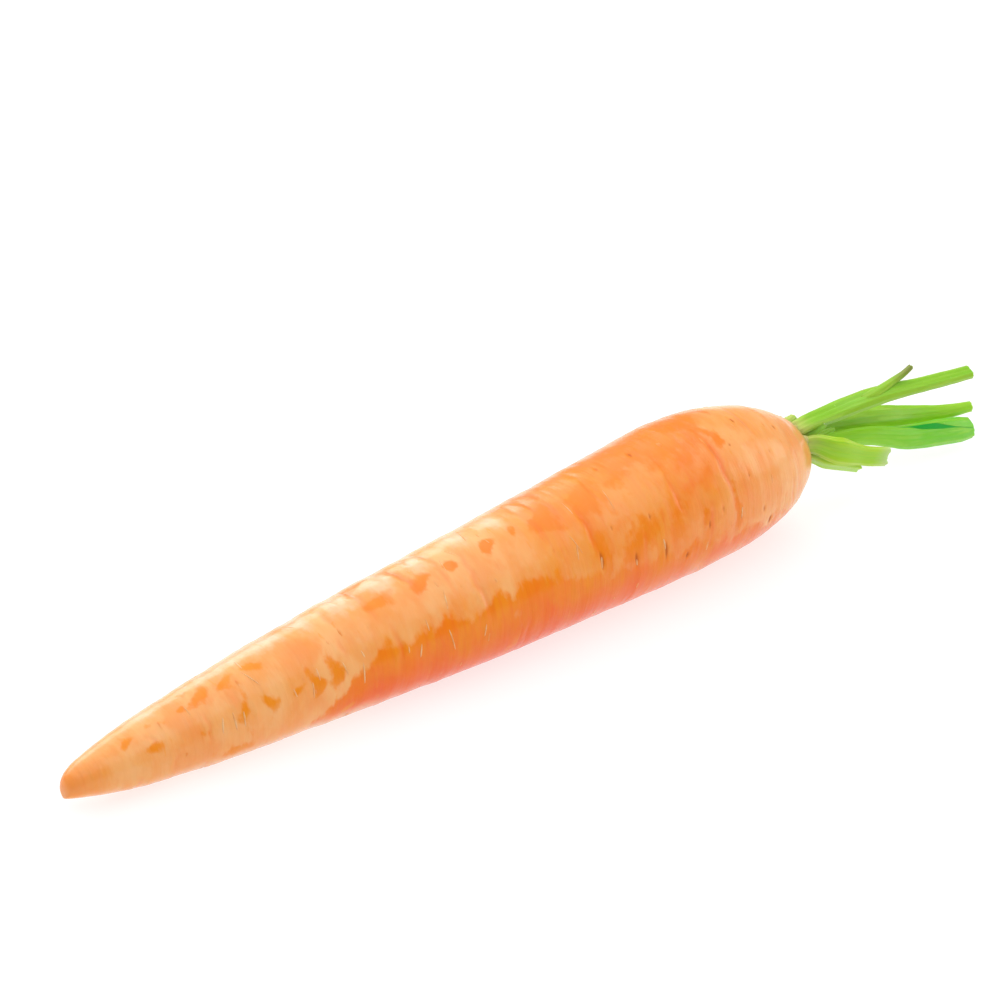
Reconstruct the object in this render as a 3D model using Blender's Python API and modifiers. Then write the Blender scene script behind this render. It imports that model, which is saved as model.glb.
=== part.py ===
"""A carrot as picked, lying on its side, with its leaf stalks trimmed short.

The root is one solid, and every leaf stalk is a solid of its own, standing in a rosette on the
crown. Metres, +Z up. +X runs from the tip to the stalks, and the origin is on the ground below
the middle of the object.
"""
import math
from dataclasses import dataclass

import bmesh
import bpy
from mathutils import Vector

# The straight root, measured from its tip.
TAPER_LENGTH = 0.150
GREATEST_RADIUS = 0.01625
TAPER_POWER = 0.43
TIP_RADIUS = 0.0005
TIP_ROUNDING = 0.003
SHOULDER_LENGTH = 0.040
SHOULDER_FULLNESS = 2.6
SHOULDER_POWER = 0.6
CROWN_RIM_RADIUS = 0.0070
CROWN_RADIUS = 0.0062
CROWN_DIP = 0.0002
OVALNESS = 0.012

# How fine the root is: rings are closer together near the tip than further along the taper.
TAPER_RINGS = 24
TAPER_SPREAD = 1.8
SHOULDER_RINGS = 12
ROOT_SIDES = 32

# How the root lies: where its tip is, how it bends, and how deep the flat is that it rests on.
TIP_X = -0.1220
SWAY = 0.0013
SWAY_MIDDLE = -0.0003
SWAY_WAVES = 0.95
TIP_LIFT = 0.0038
TIP_LIFT_LENGTH = 0.042
REST_DEPTH = 0.00035
CROWN_RISE = 0.0006
CROWN_TILT = math.radians(12)

# The rosette: its stalks stand on a ring round the heart, a hair's breadth off the crown.
RING_RADIUS = 0.0043
GAP = 0.0003
STRAIGHT_START = 0.0020
SECTION_POINTS = 14
CURVE_STEPS = 4
WELD = 0.000005

# The side shoot of the forked stalk and the young shoot in the heart of the rosette, as
# (ahead, across, up, size), ahead being +X, across +Y and up +Z from the middle of the crown.
SIDE_SHOOT_RADIUS = 0.0010
SIDE_SHOOT = [
    (0.0225, -0.0016, 0.0050, 0.9),
    (0.0262, -0.0018, 0.0056, 1.2),
    (0.0304, -0.0018, 0.0067, 1.0),
    (0.0334, -0.0019, 0.0076, 0.9),
    (0.0359, -0.0019, 0.0086, 0.8),
]
HEART_RADIUS = 0.0008
HEART = [
    (0.0040, 0.0002, 0.0014, 0.9),
    (0.0090, -0.0004, 0.0018, 0.5),
]


@dataclass
class Stalk:
    """One leaf stalk of the rosette.

    ring_angle: its place on the ring in degrees, 0 at +Y and 90 at the top.
    width, thickness, channel: its section, and how deep its inner side is hollowed.
    base_size: the size of the section where the stalk stands on the crown.
    knots: its way, as (ahead, across, up, size, roll in degrees) from the middle of the crown.
    slant: how far its end leans out of square, if it was torn or snapped, in degrees.
    """

    ring_angle: float
    width: float
    thickness: float
    channel: float
    base_size: float
    knots: list
    slant: float = 0.0


STALKS = {
    "forked_stalk": Stalk(
        112, 0.0040, 0.0030, 0.0004, 0.95,
        [
            (0.0133, -0.0006, 0.0040, 1.15, 0),
            (0.0218, -0.0014, 0.0045, 1.20, 0),
            (0.0290, -0.0024, 0.0046, 1.05, 0),
            (0.0364, -0.0034, 0.0042, 0.92, 0),
            (0.0444, -0.0041, 0.0037, 0.88, 0),
            (0.0520, -0.0048, 0.0033, 0.84, 0),
        ],
    ),
    "middle_stalk": Stalk(
        350, 0.0050, 0.0024, 0.0005, 0.72,
        [
            (0.0120, 0.0044, -0.0009, 0.84, -4),
            (0.0190, 0.0041, -0.0022, 0.95, -14),
            (0.0266, 0.0038, -0.0040, 1.00, -21),
            (0.0349, 0.0032, -0.0058, 1.02, -23),
            (0.0394, 0.0029, -0.0066, 0.97, -23),
            (0.0452, 0.0020, -0.0077, 0.84, -23),
            (0.0517, 0.0005, -0.0084, 0.64, -23),
            (0.0582, -0.0009, -0.0086, 0.46, -23),
        ],
    ),
    "broad_stalk": Stalk(
        294, 0.0052, 0.0030, 0.0006, 0.70,
        [
            (0.0120, 0.0010, -0.0043, 0.84, 6),
            (0.0180, 0.0003, -0.0048, 0.84, 18),
            (0.0236, -0.0005, -0.0057, 0.92, 26),
            (0.0306, -0.0017, -0.0075, 1.00, 31),
            (0.0345, -0.0023, -0.0084, 1.02, 31),
            (0.0445, -0.0031, -0.0101, 1.14, 31),
            (0.0510, -0.0036, -0.0112, 1.10, 31),
            (0.0550, -0.0038, -0.0119, 0.90, 31),
        ],
    ),
    "front_stub": Stalk(
        172, 0.0060, 0.0032, 0.0006, 0.66,
        [
            (0.0080, -0.0079, -0.0009, 0.98, 0),
            (0.0140, -0.0088, -0.0036, 0.74, 0),
            (0.0224, -0.0095, -0.0064, 0.70, 0),
        ],
        slant=-14,
    ),
    "low_stub": Stalk(
        232, 0.0048, 0.0026, 0.0004, 0.76,
        [
            (0.0078, -0.0048, -0.0050, 0.88, 0),
            (0.0121, -0.0056, -0.0066, 0.82, 0),
            (0.0172, -0.0063, -0.0088, 0.68, 0),
        ],
        slant=30,
    ),
    "back_stub": Stalk(
        50, 0.0042, 0.0028, 0.0004, 0.84,
        [
            (0.0036, 0.0036, 0.0034, 0.84, 0),
            (0.0056, 0.0044, 0.0033, 0.80, 0),
        ],
        slant=20,
    ),
}


def clear_scene():
    """Remove every object of the scene that the script starts in."""
    for obj in list(bpy.data.objects):
        bpy.data.objects.remove(obj, do_unlink=True)


def new_collection(name):
    """A collection in the scene."""
    collection = bpy.data.collections.new(name)
    bpy.context.scene.collection.children.link(collection)
    return collection


def new_material(name, colour, roughness):
    """A Principled material with one colour."""
    material = bpy.data.materials.new(name)
    material.use_nodes = True
    shader = material.node_tree.nodes["Principled BSDF"]
    shader.inputs["Base Color"].default_value = (*colour, 1.0)
    shader.inputs["Roughness"].default_value = roughness
    shader.inputs["Metallic"].default_value = 0.0
    return material


def helper_object(name, data, helpers):
    """An object that only helps to make another."""
    obj = bpy.data.objects.new(name, data)
    obj.hide_render = True
    obj.display_type = "WIRE"
    helpers.objects.link(obj)
    return obj


def mesh_of(obj):
    """The object's evaluated shape as a welded mesh in world space. The object is removed."""
    bpy.context.view_layer.update()
    evaluated = obj.evaluated_get(bpy.context.evaluated_depsgraph_get())
    mesh = bpy.data.meshes.new_from_object(evaluated)
    mesh.transform(obj.matrix_world)
    bpy.data.objects.remove(obj, do_unlink=True)
    shape = bmesh.new()
    shape.from_mesh(mesh)
    bmesh.ops.remove_doubles(shape, verts=shape.verts, dist=WELD)
    bmesh.ops.recalc_face_normals(shape, faces=shape.faces)
    shape.to_mesh(mesh)
    shape.free()
    return mesh


def add_piece(name, mesh, collection, material):
    """One finished piece of the carrot, shaded smooth but for its rims."""
    mesh.materials.clear()
    mesh.materials.append(material)
    mesh.shade_smooth()
    mesh.set_sharp_from_angle(angle=math.radians(50))
    obj = bpy.data.objects.new(name, mesh)
    collection.objects.link(obj)


def taper_radius(along):
    """Radius of the taper: it grows fast behind the blunt tip and slowly further on."""
    body = GREATEST_RADIUS * (along / TAPER_LENGTH) ** TAPER_POWER
    return body + TIP_RADIUS * math.exp(-along / TIP_ROUNDING)


def shoulder_radius(reach):
    """Radius of the shoulder, where reach is 0 at the widest place and 1 at the axis."""
    return GREATEST_RADIUS * (1.0 - reach ** SHOULDER_FULLNESS) ** SHOULDER_POWER


def shoulder_end():
    """How far the shoulder reaches before it meets the rim of the crown."""
    left = (CROWN_RIM_RADIUS / GREATEST_RADIUS) ** (1.0 / SHOULDER_POWER)
    return (1.0 - left) ** (1.0 / SHOULDER_FULLNESS)


def crown_length():
    """Distance from the tip to the flat of the crown."""
    return TAPER_LENGTH + SHOULDER_LENGTH * shoulder_end() - CROWN_DIP


def root_profile():
    """(radius, distance from the tip), from the middle of the crown down to the tip."""
    points = [(0.0, crown_length()), (CROWN_RADIUS, crown_length())]
    for step in range(SHOULDER_RINGS, 0, -1):
        reach = math.sin(math.asin(shoulder_end()) * step / SHOULDER_RINGS)
        points.append((shoulder_radius(reach), TAPER_LENGTH + SHOULDER_LENGTH * reach))
    for step in range(TAPER_RINGS, -1, -1):
        along = TAPER_LENGTH * (step / TAPER_RINGS) ** TAPER_SPREAD
        points.append((taper_radius(along), along))
    points.append((0.0, 0.0))
    return points


def turned_root(helpers):
    """The straight root standing on its tip, turned from its profile round the Z axis."""
    points = root_profile()
    mesh = bpy.data.meshes.new("root_profile")
    edges = [(index, index + 1) for index in range(len(points) - 1)]
    mesh.from_pydata([(radius, 0.0, along) for radius, along in points], edges, [])
    obj = helper_object("root_profile", mesh, helpers)
    screw = obj.modifiers.new("turned", "SCREW")
    screw.axis = "Z"
    screw.steps = ROOT_SIDES
    screw.render_steps = ROOT_SIDES
    screw.use_merge_vertices = True
    screw.merge_threshold = WELD
    return obj


def root_axis(along):
    """Middle of the bent root at a distance from its tip."""
    waves = 2.0 * math.pi * SWAY_WAVES * along / crown_length()
    side = SWAY_MIDDLE + SWAY * math.cos(waves)
    if along > TAPER_LENGTH:
        reach = (along - TAPER_LENGTH) / SHOULDER_LENGTH
        lift = CROWN_RISE * reach ** 2
        radius = GREATEST_RADIUS
    else:
        lift = TIP_LIFT * max(0.0, 1.0 - along / TIP_LIFT_LENGTH) ** 3
        radius = taper_radius(along)
    height = (1.0 - OVALNESS) * radius + lift - REST_DEPTH
    return Vector((TIP_X + along, side, height))


def laid_down(along, across, up):
    """Where a point of the straight root goes when the root lies bent on the ground."""
    reach = max(0.0, along - TAPER_LENGTH) / (crown_length() - TAPER_LENGTH)
    lean = math.tan(CROWN_TILT) * reach * reach * (3.0 - 2.0 * reach)
    oval = 1.0 + OVALNESS * math.cos(2.0 * math.atan2(up, across))
    point = root_axis(along) + Vector((-up * lean, across * oval, up * oval))
    point.z = max(point.z, 0.0)
    return point


def make_taproot(carrot, helpers, material):
    """The root: turned, then laid along X, bent, and flattened where it rests."""
    mesh = mesh_of(turned_root(helpers))
    for vertex in mesh.vertices:
        across, up, along = vertex.co
        vertex.co = laid_down(along, across, up)
    add_piece("taproot", mesh, carrot, material)


def crown_point(across, up, out):
    """A point on the crown, or out of it: across is +Y and up leans back with the crown."""
    up_axis = Vector((-math.sin(CROWN_TILT), 0.0, math.cos(CROWN_TILT)))
    out_axis = Vector((math.cos(CROWN_TILT), 0.0, math.sin(CROWN_TILT)))
    middle = root_axis(crown_length())
    return middle + Vector((0.0, across, 0.0)) + up * up_axis + out * out_axis


def way_from_crown(across, up, knots):
    """The points of a way that leaves the crown squarely and goes on through its knots."""
    middle = crown_point(0.0, 0.0, 0.0)
    points = [crown_point(across, up, GAP), crown_point(across, up, GAP + STRAIGHT_START)]
    return points + [middle + Vector(knot[:3]) for knot in knots]


def curve_along(name, points, sizes, rolls, helpers):
    """A closed tube's curve through the points, scaled and rolled along its way."""
    curve = bpy.data.curves.new(name, "CURVE")
    curve.dimensions = "3D"
    curve.twist_mode = "Z_UP"
    curve.resolution_u = CURVE_STEPS
    curve.use_fill_caps = True
    spline = curve.splines.new("BEZIER")
    spline.bezier_points.add(len(points) - 1)
    for knot, place, size, roll in zip(spline.bezier_points, points, sizes, rolls):
        knot.co = place
        knot.radius = size
        knot.tilt = roll
        knot.handle_left_type = "AUTO"
        knot.handle_right_type = "AUTO"
    return helper_object(name, curve, helpers)


def round_stem(name, points, radius, sizes, helpers):
    """Mesh of a round stem."""
    obj = curve_along(name, points, sizes, [0.0] * len(points), helpers)
    obj.data.bevel_depth = radius
    obj.data.bevel_resolution = 2
    return mesh_of(obj)


def section_curve(name, stalk, helpers):
    """Closed outline of a stalk, round on its outer side and channelled on its inner side."""
    curve = bpy.data.curves.new(name, "CURVE")
    curve.dimensions = "2D"
    spline = curve.splines.new("POLY")
    spline.points.add(SECTION_POINTS - 1)
    spline.use_cyclic_u = True
    for index, point in enumerate(spline.points):
        turn = 2.0 * math.pi * (index + 0.5) / SECTION_POINTS
        side = 0.5 * stalk.width * math.cos(turn)
        height = 0.5 * stalk.thickness * math.sin(turn)
        if height > 0.0:
            height -= stalk.channel * max(0.0, 1.0 - (3.0 * side / stalk.width) ** 2)
        point.co = (side, height, 0.0, 1.0)
    return helper_object(name, curve, helpers)


def cut_across(mesh, place, facing):
    """Cut a stalk off at a plane, drop what lies on the facing side, and close the cut."""
    shape = bmesh.new()
    shape.from_mesh(mesh)
    everything = shape.verts[:] + shape.edges[:] + shape.faces[:]
    cut = bmesh.ops.bisect_plane(
        shape, geom=everything, plane_co=place, plane_no=facing, clear_outer=True
    )
    rim = [item for item in cut["geom_cut"] if isinstance(item, bmesh.types.BMEdge)]
    bmesh.ops.contextual_create(shape, geom=rim)
    bmesh.ops.recalc_face_normals(shape, faces=shape.faces)
    shape.to_mesh(mesh)
    shape.free()


def stalk_mesh(name, stalk, helpers):
    """Mesh of one stalk of the rosette, its channel facing the heart before it rolls."""
    angle = math.radians(stalk.ring_angle)
    across = RING_RADIUS * math.cos(angle)
    up = RING_RADIUS * math.sin(angle)
    points = way_from_crown(across, up, stalk.knots)
    sizes = [stalk.base_size] * 2 + [knot[3] for knot in stalk.knots]
    turns = [0.0] * 2 + [knot[4] for knot in stalk.knots]
    rolls = [angle + math.pi / 2 + math.radians(turn) for turn in turns]
    outline = section_curve(name + "_section", stalk, helpers)
    obj = curve_along(name + "_way", points, sizes, rolls, helpers)
    obj.data.bevel_mode = "OBJECT"
    obj.data.bevel_object = outline
    mesh = mesh_of(obj)
    bpy.data.objects.remove(outline, do_unlink=True)
    if stalk.slant:
        ahead = (points[-1] - points[-2]).normalized()
        lean = math.tan(math.radians(stalk.slant))
        facing = (ahead + lean * Vector((0.0, 0.0, 1.0))).normalized()
        room = 0.5 * stalk.width * sizes[-1] * abs(lean)
        cut_across(mesh, points[-1] - ahead * room, facing)
    return mesh


def joined(name, first, second, helpers):
    """One mesh of two that overlap."""
    body = helper_object(name, first, helpers)
    branch = helper_object(name + "_branch", second, helpers)
    union = body.modifiers.new("union", "BOOLEAN")
    union.operation = "UNION"
    union.solver = "EXACT"
    union.object = branch
    mesh = mesh_of(body)
    bpy.data.objects.remove(branch, do_unlink=True)
    return mesh


def with_side_shoot(mesh, helpers):
    """The forked stalk: its main stem joined with the thin side shoot."""
    middle = crown_point(0.0, 0.0, 0.0)
    points = [middle + Vector(knot[:3]) for knot in SIDE_SHOOT]
    sizes = [knot[3] for knot in SIDE_SHOOT]
    shoot = round_stem("side_shoot", points, SIDE_SHOOT_RADIUS, sizes, helpers)
    return joined("forked_stem", mesh, shoot, helpers)


def make_stalks(carrot, helpers, material):
    """Every stalk of the ring."""
    for name, stalk in STALKS.items():
        mesh = stalk_mesh(name, stalk, helpers)
        if name == "forked_stalk":
            mesh = with_side_shoot(mesh, helpers)
        add_piece(name, mesh, carrot, material)


def make_heart_shoot(carrot, helpers, material):
    """The young shoot that stands in the heart of the rosette."""
    points = way_from_crown(0.0, 0.0, HEART)
    sizes = [1.0, 1.0] + [knot[3] for knot in HEART]
    mesh = round_stem("heart", points, HEART_RADIUS, sizes, helpers)
    add_piece("heart_shoot", mesh, carrot, material)


def main():
    """Build the carrot."""
    clear_scene()
    carrot = new_collection("carrot")
    helpers = new_collection("helpers")
    skin = new_material("carrot_skin", (0.93, 0.33, 0.06), 0.45)
    green = new_material("leaf_stalk", (0.33, 0.60, 0.05), 0.45)
    pale_green = new_material("young_shoot", (0.60, 0.72, 0.25), 0.45)
    make_taproot(carrot, helpers, skin)
    make_stalks(carrot, helpers, green)
    make_heart_shoot(carrot, helpers, pale_green)


main()
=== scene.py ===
"""Looks of a carrot that lies on its side with its leaf stalks trimmed short.

The skin, its scars and rootlets, and the leaf stalks are made round the solid model. Metres, +Z
up. +X runs from the tip to the stalks. Tables give places on the root in millimetres from the
tip and in degrees round it, where 0 is +Y, 90 the top and 180 the side towards -Y.
"""

import itertools
import math

import bmesh
import bpy
import numpy as np
from bpy.props import FloatProperty, FloatVectorProperty, IntProperty, PointerProperty
from mathutils import Matrix, Vector


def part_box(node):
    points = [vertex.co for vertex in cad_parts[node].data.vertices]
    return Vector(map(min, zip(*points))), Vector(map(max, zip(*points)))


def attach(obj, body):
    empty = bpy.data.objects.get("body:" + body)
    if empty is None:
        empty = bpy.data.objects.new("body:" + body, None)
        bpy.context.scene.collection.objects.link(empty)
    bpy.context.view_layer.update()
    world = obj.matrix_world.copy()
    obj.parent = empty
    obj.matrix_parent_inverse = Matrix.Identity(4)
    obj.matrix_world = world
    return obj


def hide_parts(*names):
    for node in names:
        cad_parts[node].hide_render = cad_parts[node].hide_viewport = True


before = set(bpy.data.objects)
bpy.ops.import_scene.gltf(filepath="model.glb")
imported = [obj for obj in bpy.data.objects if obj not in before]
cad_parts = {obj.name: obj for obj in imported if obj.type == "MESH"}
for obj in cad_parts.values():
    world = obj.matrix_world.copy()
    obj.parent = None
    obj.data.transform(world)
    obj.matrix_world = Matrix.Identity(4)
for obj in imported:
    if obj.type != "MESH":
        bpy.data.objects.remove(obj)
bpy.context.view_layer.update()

bl_info = {
    "name": "Carrot with trimmed stalks",
    "version": (1, 0, 0),
    "blender": (4, 5, 0),
    "location": "3D View > Sidebar > Carrot",
    "description": "Makes the skin, leaf stalks and stage of a carrot round its solid model",
    "category": "Add Mesh",
}

MM = 0.001
TAU = 2.0 * math.pi
WELD = 0.000002

# The root's form, which repeats the solid model's: a taper, a rounded shoulder, a sway from side
# to side, a lifted tip and a crown that leans out of the shoulder's axis.
TAPER_LENGTH = 0.150
GREATEST_RADIUS = 0.01625
TAPER_POWER = 0.43
TIP_RADIUS = 0.0005
TIP_ROUNDING = 0.003
SHOULDER_LENGTH = 0.040
SHOULDER_FULLNESS = 2.6
SHOULDER_POWER = 0.6
CROWN_RIM_RADIUS = 0.0070
CROWN_DIP = 0.0002
OVALNESS = 0.012
TIP_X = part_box("taproot")[0].x
SWAY = 0.0013
SWAY_MIDDLE = -0.0003
SWAY_WAVES = 0.95
TIP_LIFT = 0.0038
TIP_LIFT_LENGTH = 0.042
REST_DEPTH = 0.00035
CROWN_RISE = 0.0006
CROWN_TILT = math.radians(12)
CROWN_REACH = (1.0 - (CROWN_RIM_RADIUS / GREATEST_RADIUS) ** (1.0 / SHOULDER_POWER)) ** (
    1.0 / SHOULDER_FULLNESS
)
CROWN_LENGTH = TAPER_LENGTH + SHOULDER_LENGTH * CROWN_REACH - CROWN_DIP
CROWN_MIDDLE = Vector((TIP_X + CROWN_LENGTH, 0.000936, 0.016183))
CROWN_UP = Vector((-math.sin(CROWN_TILT), 0.0, math.cos(CROWN_TILT)))
CROWN_OUT = Vector((math.cos(CROWN_TILT), 0.0, math.sin(CROWN_TILT)))

# The share of the root's rings that lie on its taper, and how they crowd towards the tip.
TAPER_SHARE = 0.806
TAPER_SPREAD = 1.25

# Folds across the skin: (along, middle of the arc, half its width in degrees, bow, depth,
# width), all but the angles in millimetres.
FOLDS = [
    (154.0, 140, 62, 0.6, 0.42, 0.75),
    (140.2, 130, 36, 1.2, 0.28, 0.65),
    (117.2, 124, 42, 1.2, 0.26, 0.65),
    (66.8, 92, 42, 0.8, 0.34, 0.70),
    (89.6, 128, 50, 0.4, 0.36, 0.62),
    (107.2, 100, 36, 0.5, 0.22, 0.60),
    (77.2, 92, 36, 0.9, 0.30, 0.70),
    (129.0, 172, 22, 0.9, 0.16, 0.55),
    (168.5, 110, 26, 0.9, 0.12, 0.60),
    (147.0, 178, 24, 0.6, 0.20, 0.55),
    (59.0, 84, 30, 0.6, 0.22, 0.60),
]

# Swellings between the folds: (along, middle, length, width in degrees, height).
SWELLS = [
    (62.5, 92, 2.8, 34, 0.40),
    (71.8, 92, 3.0, 32, 0.42),
    (82.0, 96, 2.8, 32, 0.34),
    (92.8, 95, 3.2, 34, 0.40),
    (102.5, 98, 3.0, 32, 0.28),
    (122.5, 110, 4.0, 40, 0.20),
    (134.0, 120, 3.6, 42, 0.18),
    (149.0, 135, 4.2, 50, 0.26),
    (159.5, 150, 4.2, 55, 0.22),
    (111.5, 118, 3.0, 34, 0.16),
]

# Painted highlights: pale patches on top of the swellings, with the same columns as PATCHES.
CREST_HIGHLIGHTS = [
    (55.0, 76, 4.2, 26, 0.8),
    (63.0, 80, 3.2, 28, 1.0),
    (72.3, 80, 3.2, 28, 1.0),
    (82.0, 82, 3.0, 26, 0.8),
    (92.8, 84, 3.0, 26, 0.75),
    (101.5, 84, 2.6, 22, 0.6),
    (22.0, 70, 9.0, 22, 0.6),
    (37.0, 72, 8.0, 24, 0.7),
    (46.5, 76, 5.0, 24, 0.8),
    (8.0, 66, 4.0, 22, 0.4),
]

# Root scars: (along, place round the root, half their length across, depth).
SCARS = [
    (118.0, 162, 1.9, 0.42),
    (126.5, 173, 1.5, 0.36),
    (134.5, 177, 2.2, 0.34),
    (140.5, 190, 0.7, 0.42),
    (165.5, 197, 1.4, 0.36),
    (163.0, 182, 1.1, 0.26),
    (137.5, 93, 0.9, 0.34),
    (166.0, 104, 1.0, 0.36),
    (129.0, 89, 0.8, 0.26),
    (132.0, 147, 0.8, 0.26),
    (122.5, 142, 0.7, 0.22),
    (160.0, 151, 0.6, 0.22),
    (146.5, 173, 1.2, 0.28),
    (150.5, 166, 0.9, 0.24),
    (64.5, 128, 0.6, 0.14),
    (86.0, 131, 0.6, 0.14),
    (108.0, 138, 0.6, 0.16),
]

# Depths at which the folds show their full painted shade and a scar its full colour, and the
# widths along the root of a scar's pit and of the cushion round it.
FULL_FOLD = 0.22
FULL_SCAR = 0.30
PIT_WIDTH = 0.42
CUSHION_WIDTH = 1.1

# Pale rootlets that lie on the skin: (along, place, half length, half width).
ROOTLETS = [
    (60.5, 168, 2.2, 0.13),
    (61.5, 149, 0.8, 0.12),
    (73.5, 169, 1.4, 0.13),
    (76.0, 150, 1.3, 0.10),
    (71.0, 164, 0.7, 0.10),
    (80.5, 171, 2.4, 0.11),
    (88.5, 175, 1.3, 0.12),
    (51.5, 149, 1.3, 0.12),
    (49.8, 163, 1.6, 0.12),
    (46.0, 158, 0.9, 0.12),
    (30.5, 158, 1.6, 0.15),
    (33.0, 160, 1.9, 0.16),
    (35.2, 162, 1.5, 0.14),
    (57.0, 156, 1.4, 0.11),
    (118.0, 164, 1.2, 0.22),
    (126.7, 176, 0.7, 0.16),
    (156.0, 176, 1.4, 0.14),
    (134.2, 172, 1.3, 0.16),
]
ROOTLET_SKEWS = (0.1, -0.2, 0.25, 0.0)
ROOTLET_SPREAD = 1.3

# Lenticels and rootlets: how high they stand and how far they are lifted, in millimetres, the
# thickness of a mark before it is laid on the skin, and the root's usual radius in millimetres.
ROOTLET_HEIGHT = 0.06
ROOTLET_LIFT = 0.01
LENTICEL_LIFT = -0.02
FLAT = 0.00001
MEAN_RADIUS = 12.0

# Patches of a stronger orange, which also break the painted sheen: (along, place, half length,
# half width in degrees, strength).
PATCHES = [
    (40.5, 106, 1.9, 9, 0.85),
    (35.0, 108, 1.9, 10, 0.95),
    (30.0, 106, 2.4, 12, 0.95),
    (25.2, 109, 1.2, 12, 0.8),
    (17.5, 146, 1.5, 10, 0.8),
    (27.2, 155, 1.4, 12, 0.65),
    (13.0, 115, 1.6, 11, 0.7),
    (35.5, 154, 1.3, 24, 0.8),
    (40.5, 156, 1.3, 14, 0.75),
    (19.0, 108, 1.6, 9, 0.45),
    (79.8, 110, 2.4, 9, 0.9),
    (86.5, 108, 2.3, 8, 0.7),
    (70.5, 109, 3.4, 11, 0.9),
    (96.5, 107, 2.0, 9, 1.0),
    (102.5, 106, 1.0, 7, 0.8),
    (111.0, 110, 3.4, 14, 1.0),
    (119.5, 103, 3.4, 14, 0.9),
    (150.0, 66, 12.0, 44, 1.1),
    (156.2, 112, 1.8, 17, 0.9),
    (134.0, 68, 13.0, 40, 1.0),
    (130.5, 108, 3.2, 12, 0.7),
    (122.0, 110, 4.2, 18, 0.8),
    (129.5, 162, 5.5, 24, 0.8),
    (138.0, 160, 2.6, 18, 0.8),
    (155.5, 170, 1.1, 28, 0.9),
    (145.5, 166, 1.2, 10, 0.7),
    (118.5, 155, 2.6, 24, 0.7),
    (47.5, 156, 1.7, 9, 0.8),
    (51.0, 157, 1.7, 12, 0.9),
    (54.5, 158, 2.2, 14, 0.9),
    (26.0, 84, 3.0, 11, 0.7),
    (50.5, 68, 1.2, 9, 0.6),
]

# Parts of the root's skin that the random root scars keep off: the degrees round the root and
# the millimetres from the tip where it is dry and pale, and how far a scar moves round instead.
PALE_SIDE = (75, 215)
PALE_LENGTH = 150
SCAR_SHIFT = 165

# What changes along the skin, as (share of CURVE_LENGTH from the tip, value): how high on the
# side the dry skin and the painted sheen begin, how strong they are, how much of the painted
# shade of darker orange lies below, how strong the painted pink reflection of the floor is on the
# underside.
CURVE_LENGTH = 190.0
DRY_SHEEN_LIMIT = [
    (0.0, 0.05), (0.20, 0.10), (0.29, 0.42), (0.35, 0.70), (0.52, 0.72), (0.60, 0.60),
    (0.70, 0.46), (0.80, 0.40), (0.90, 0.28), (1.0, 0.15),
]
DRY_SHEEN_SHARE = [
    (0.0, 1.0), (0.15, 1.0), (0.50, 1.0), (0.57, 0.62), (0.78, 0.50), (0.86, 0.95), (1.0, 1.0),
]
UNDERSIDE_SHADE_SHARE = [
    (0.0, 0.10), (0.27, 0.20), (0.34, 0.85), (0.55, 0.95), (0.65, 0.62), (0.82, 0.48),
    (1.0, 0.20),
]
ROSY_REFLECTION_SHARE = [
    (0.0, 0.30), (0.10, 0.55), (0.26, 0.85), (0.36, 0.30), (0.50, 0.0), (1.0, 0.0),
]

# The dark slot of painted shade on the broad stalk, with a slight dent in its relief: its middle
# and half its length in millimetres from the crown; its turn round the stalk, its slant in each
# millimetre and half its width, in radians.
SLOT_MIDDLE = 41.4
SLOT_HALF_LENGTH = 9.5
SLOT_TURN = math.radians(-123)
SLOT_SLANT = math.radians(3.2)
SLOT_HALF_WIDTH = 0.27

# Where the stalks stand on the crown, and how their ends are closed: each cap is rings of (size,
# how far it sinks, how cut it looks).
RING_RADIUS = 0.0043
GAP = 0.0003
STRAIGHT_START = 0.0020
BLEACH_LENGTH = 0.0045
FAR_CAP = [
    (0.93, -0.00004, 0.55), (0.84, 0.00008, 1.0), (0.55, 0.00020, 0.9), (0.25, 0.00012, 1.0),
]
NEAR_CAP = [(0.85, 0.00008, 0.0), (0.5, 0.00010, 0.0)]
POINT_SPACING = 0.00045
FEWEST_POINTS = 24

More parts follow.
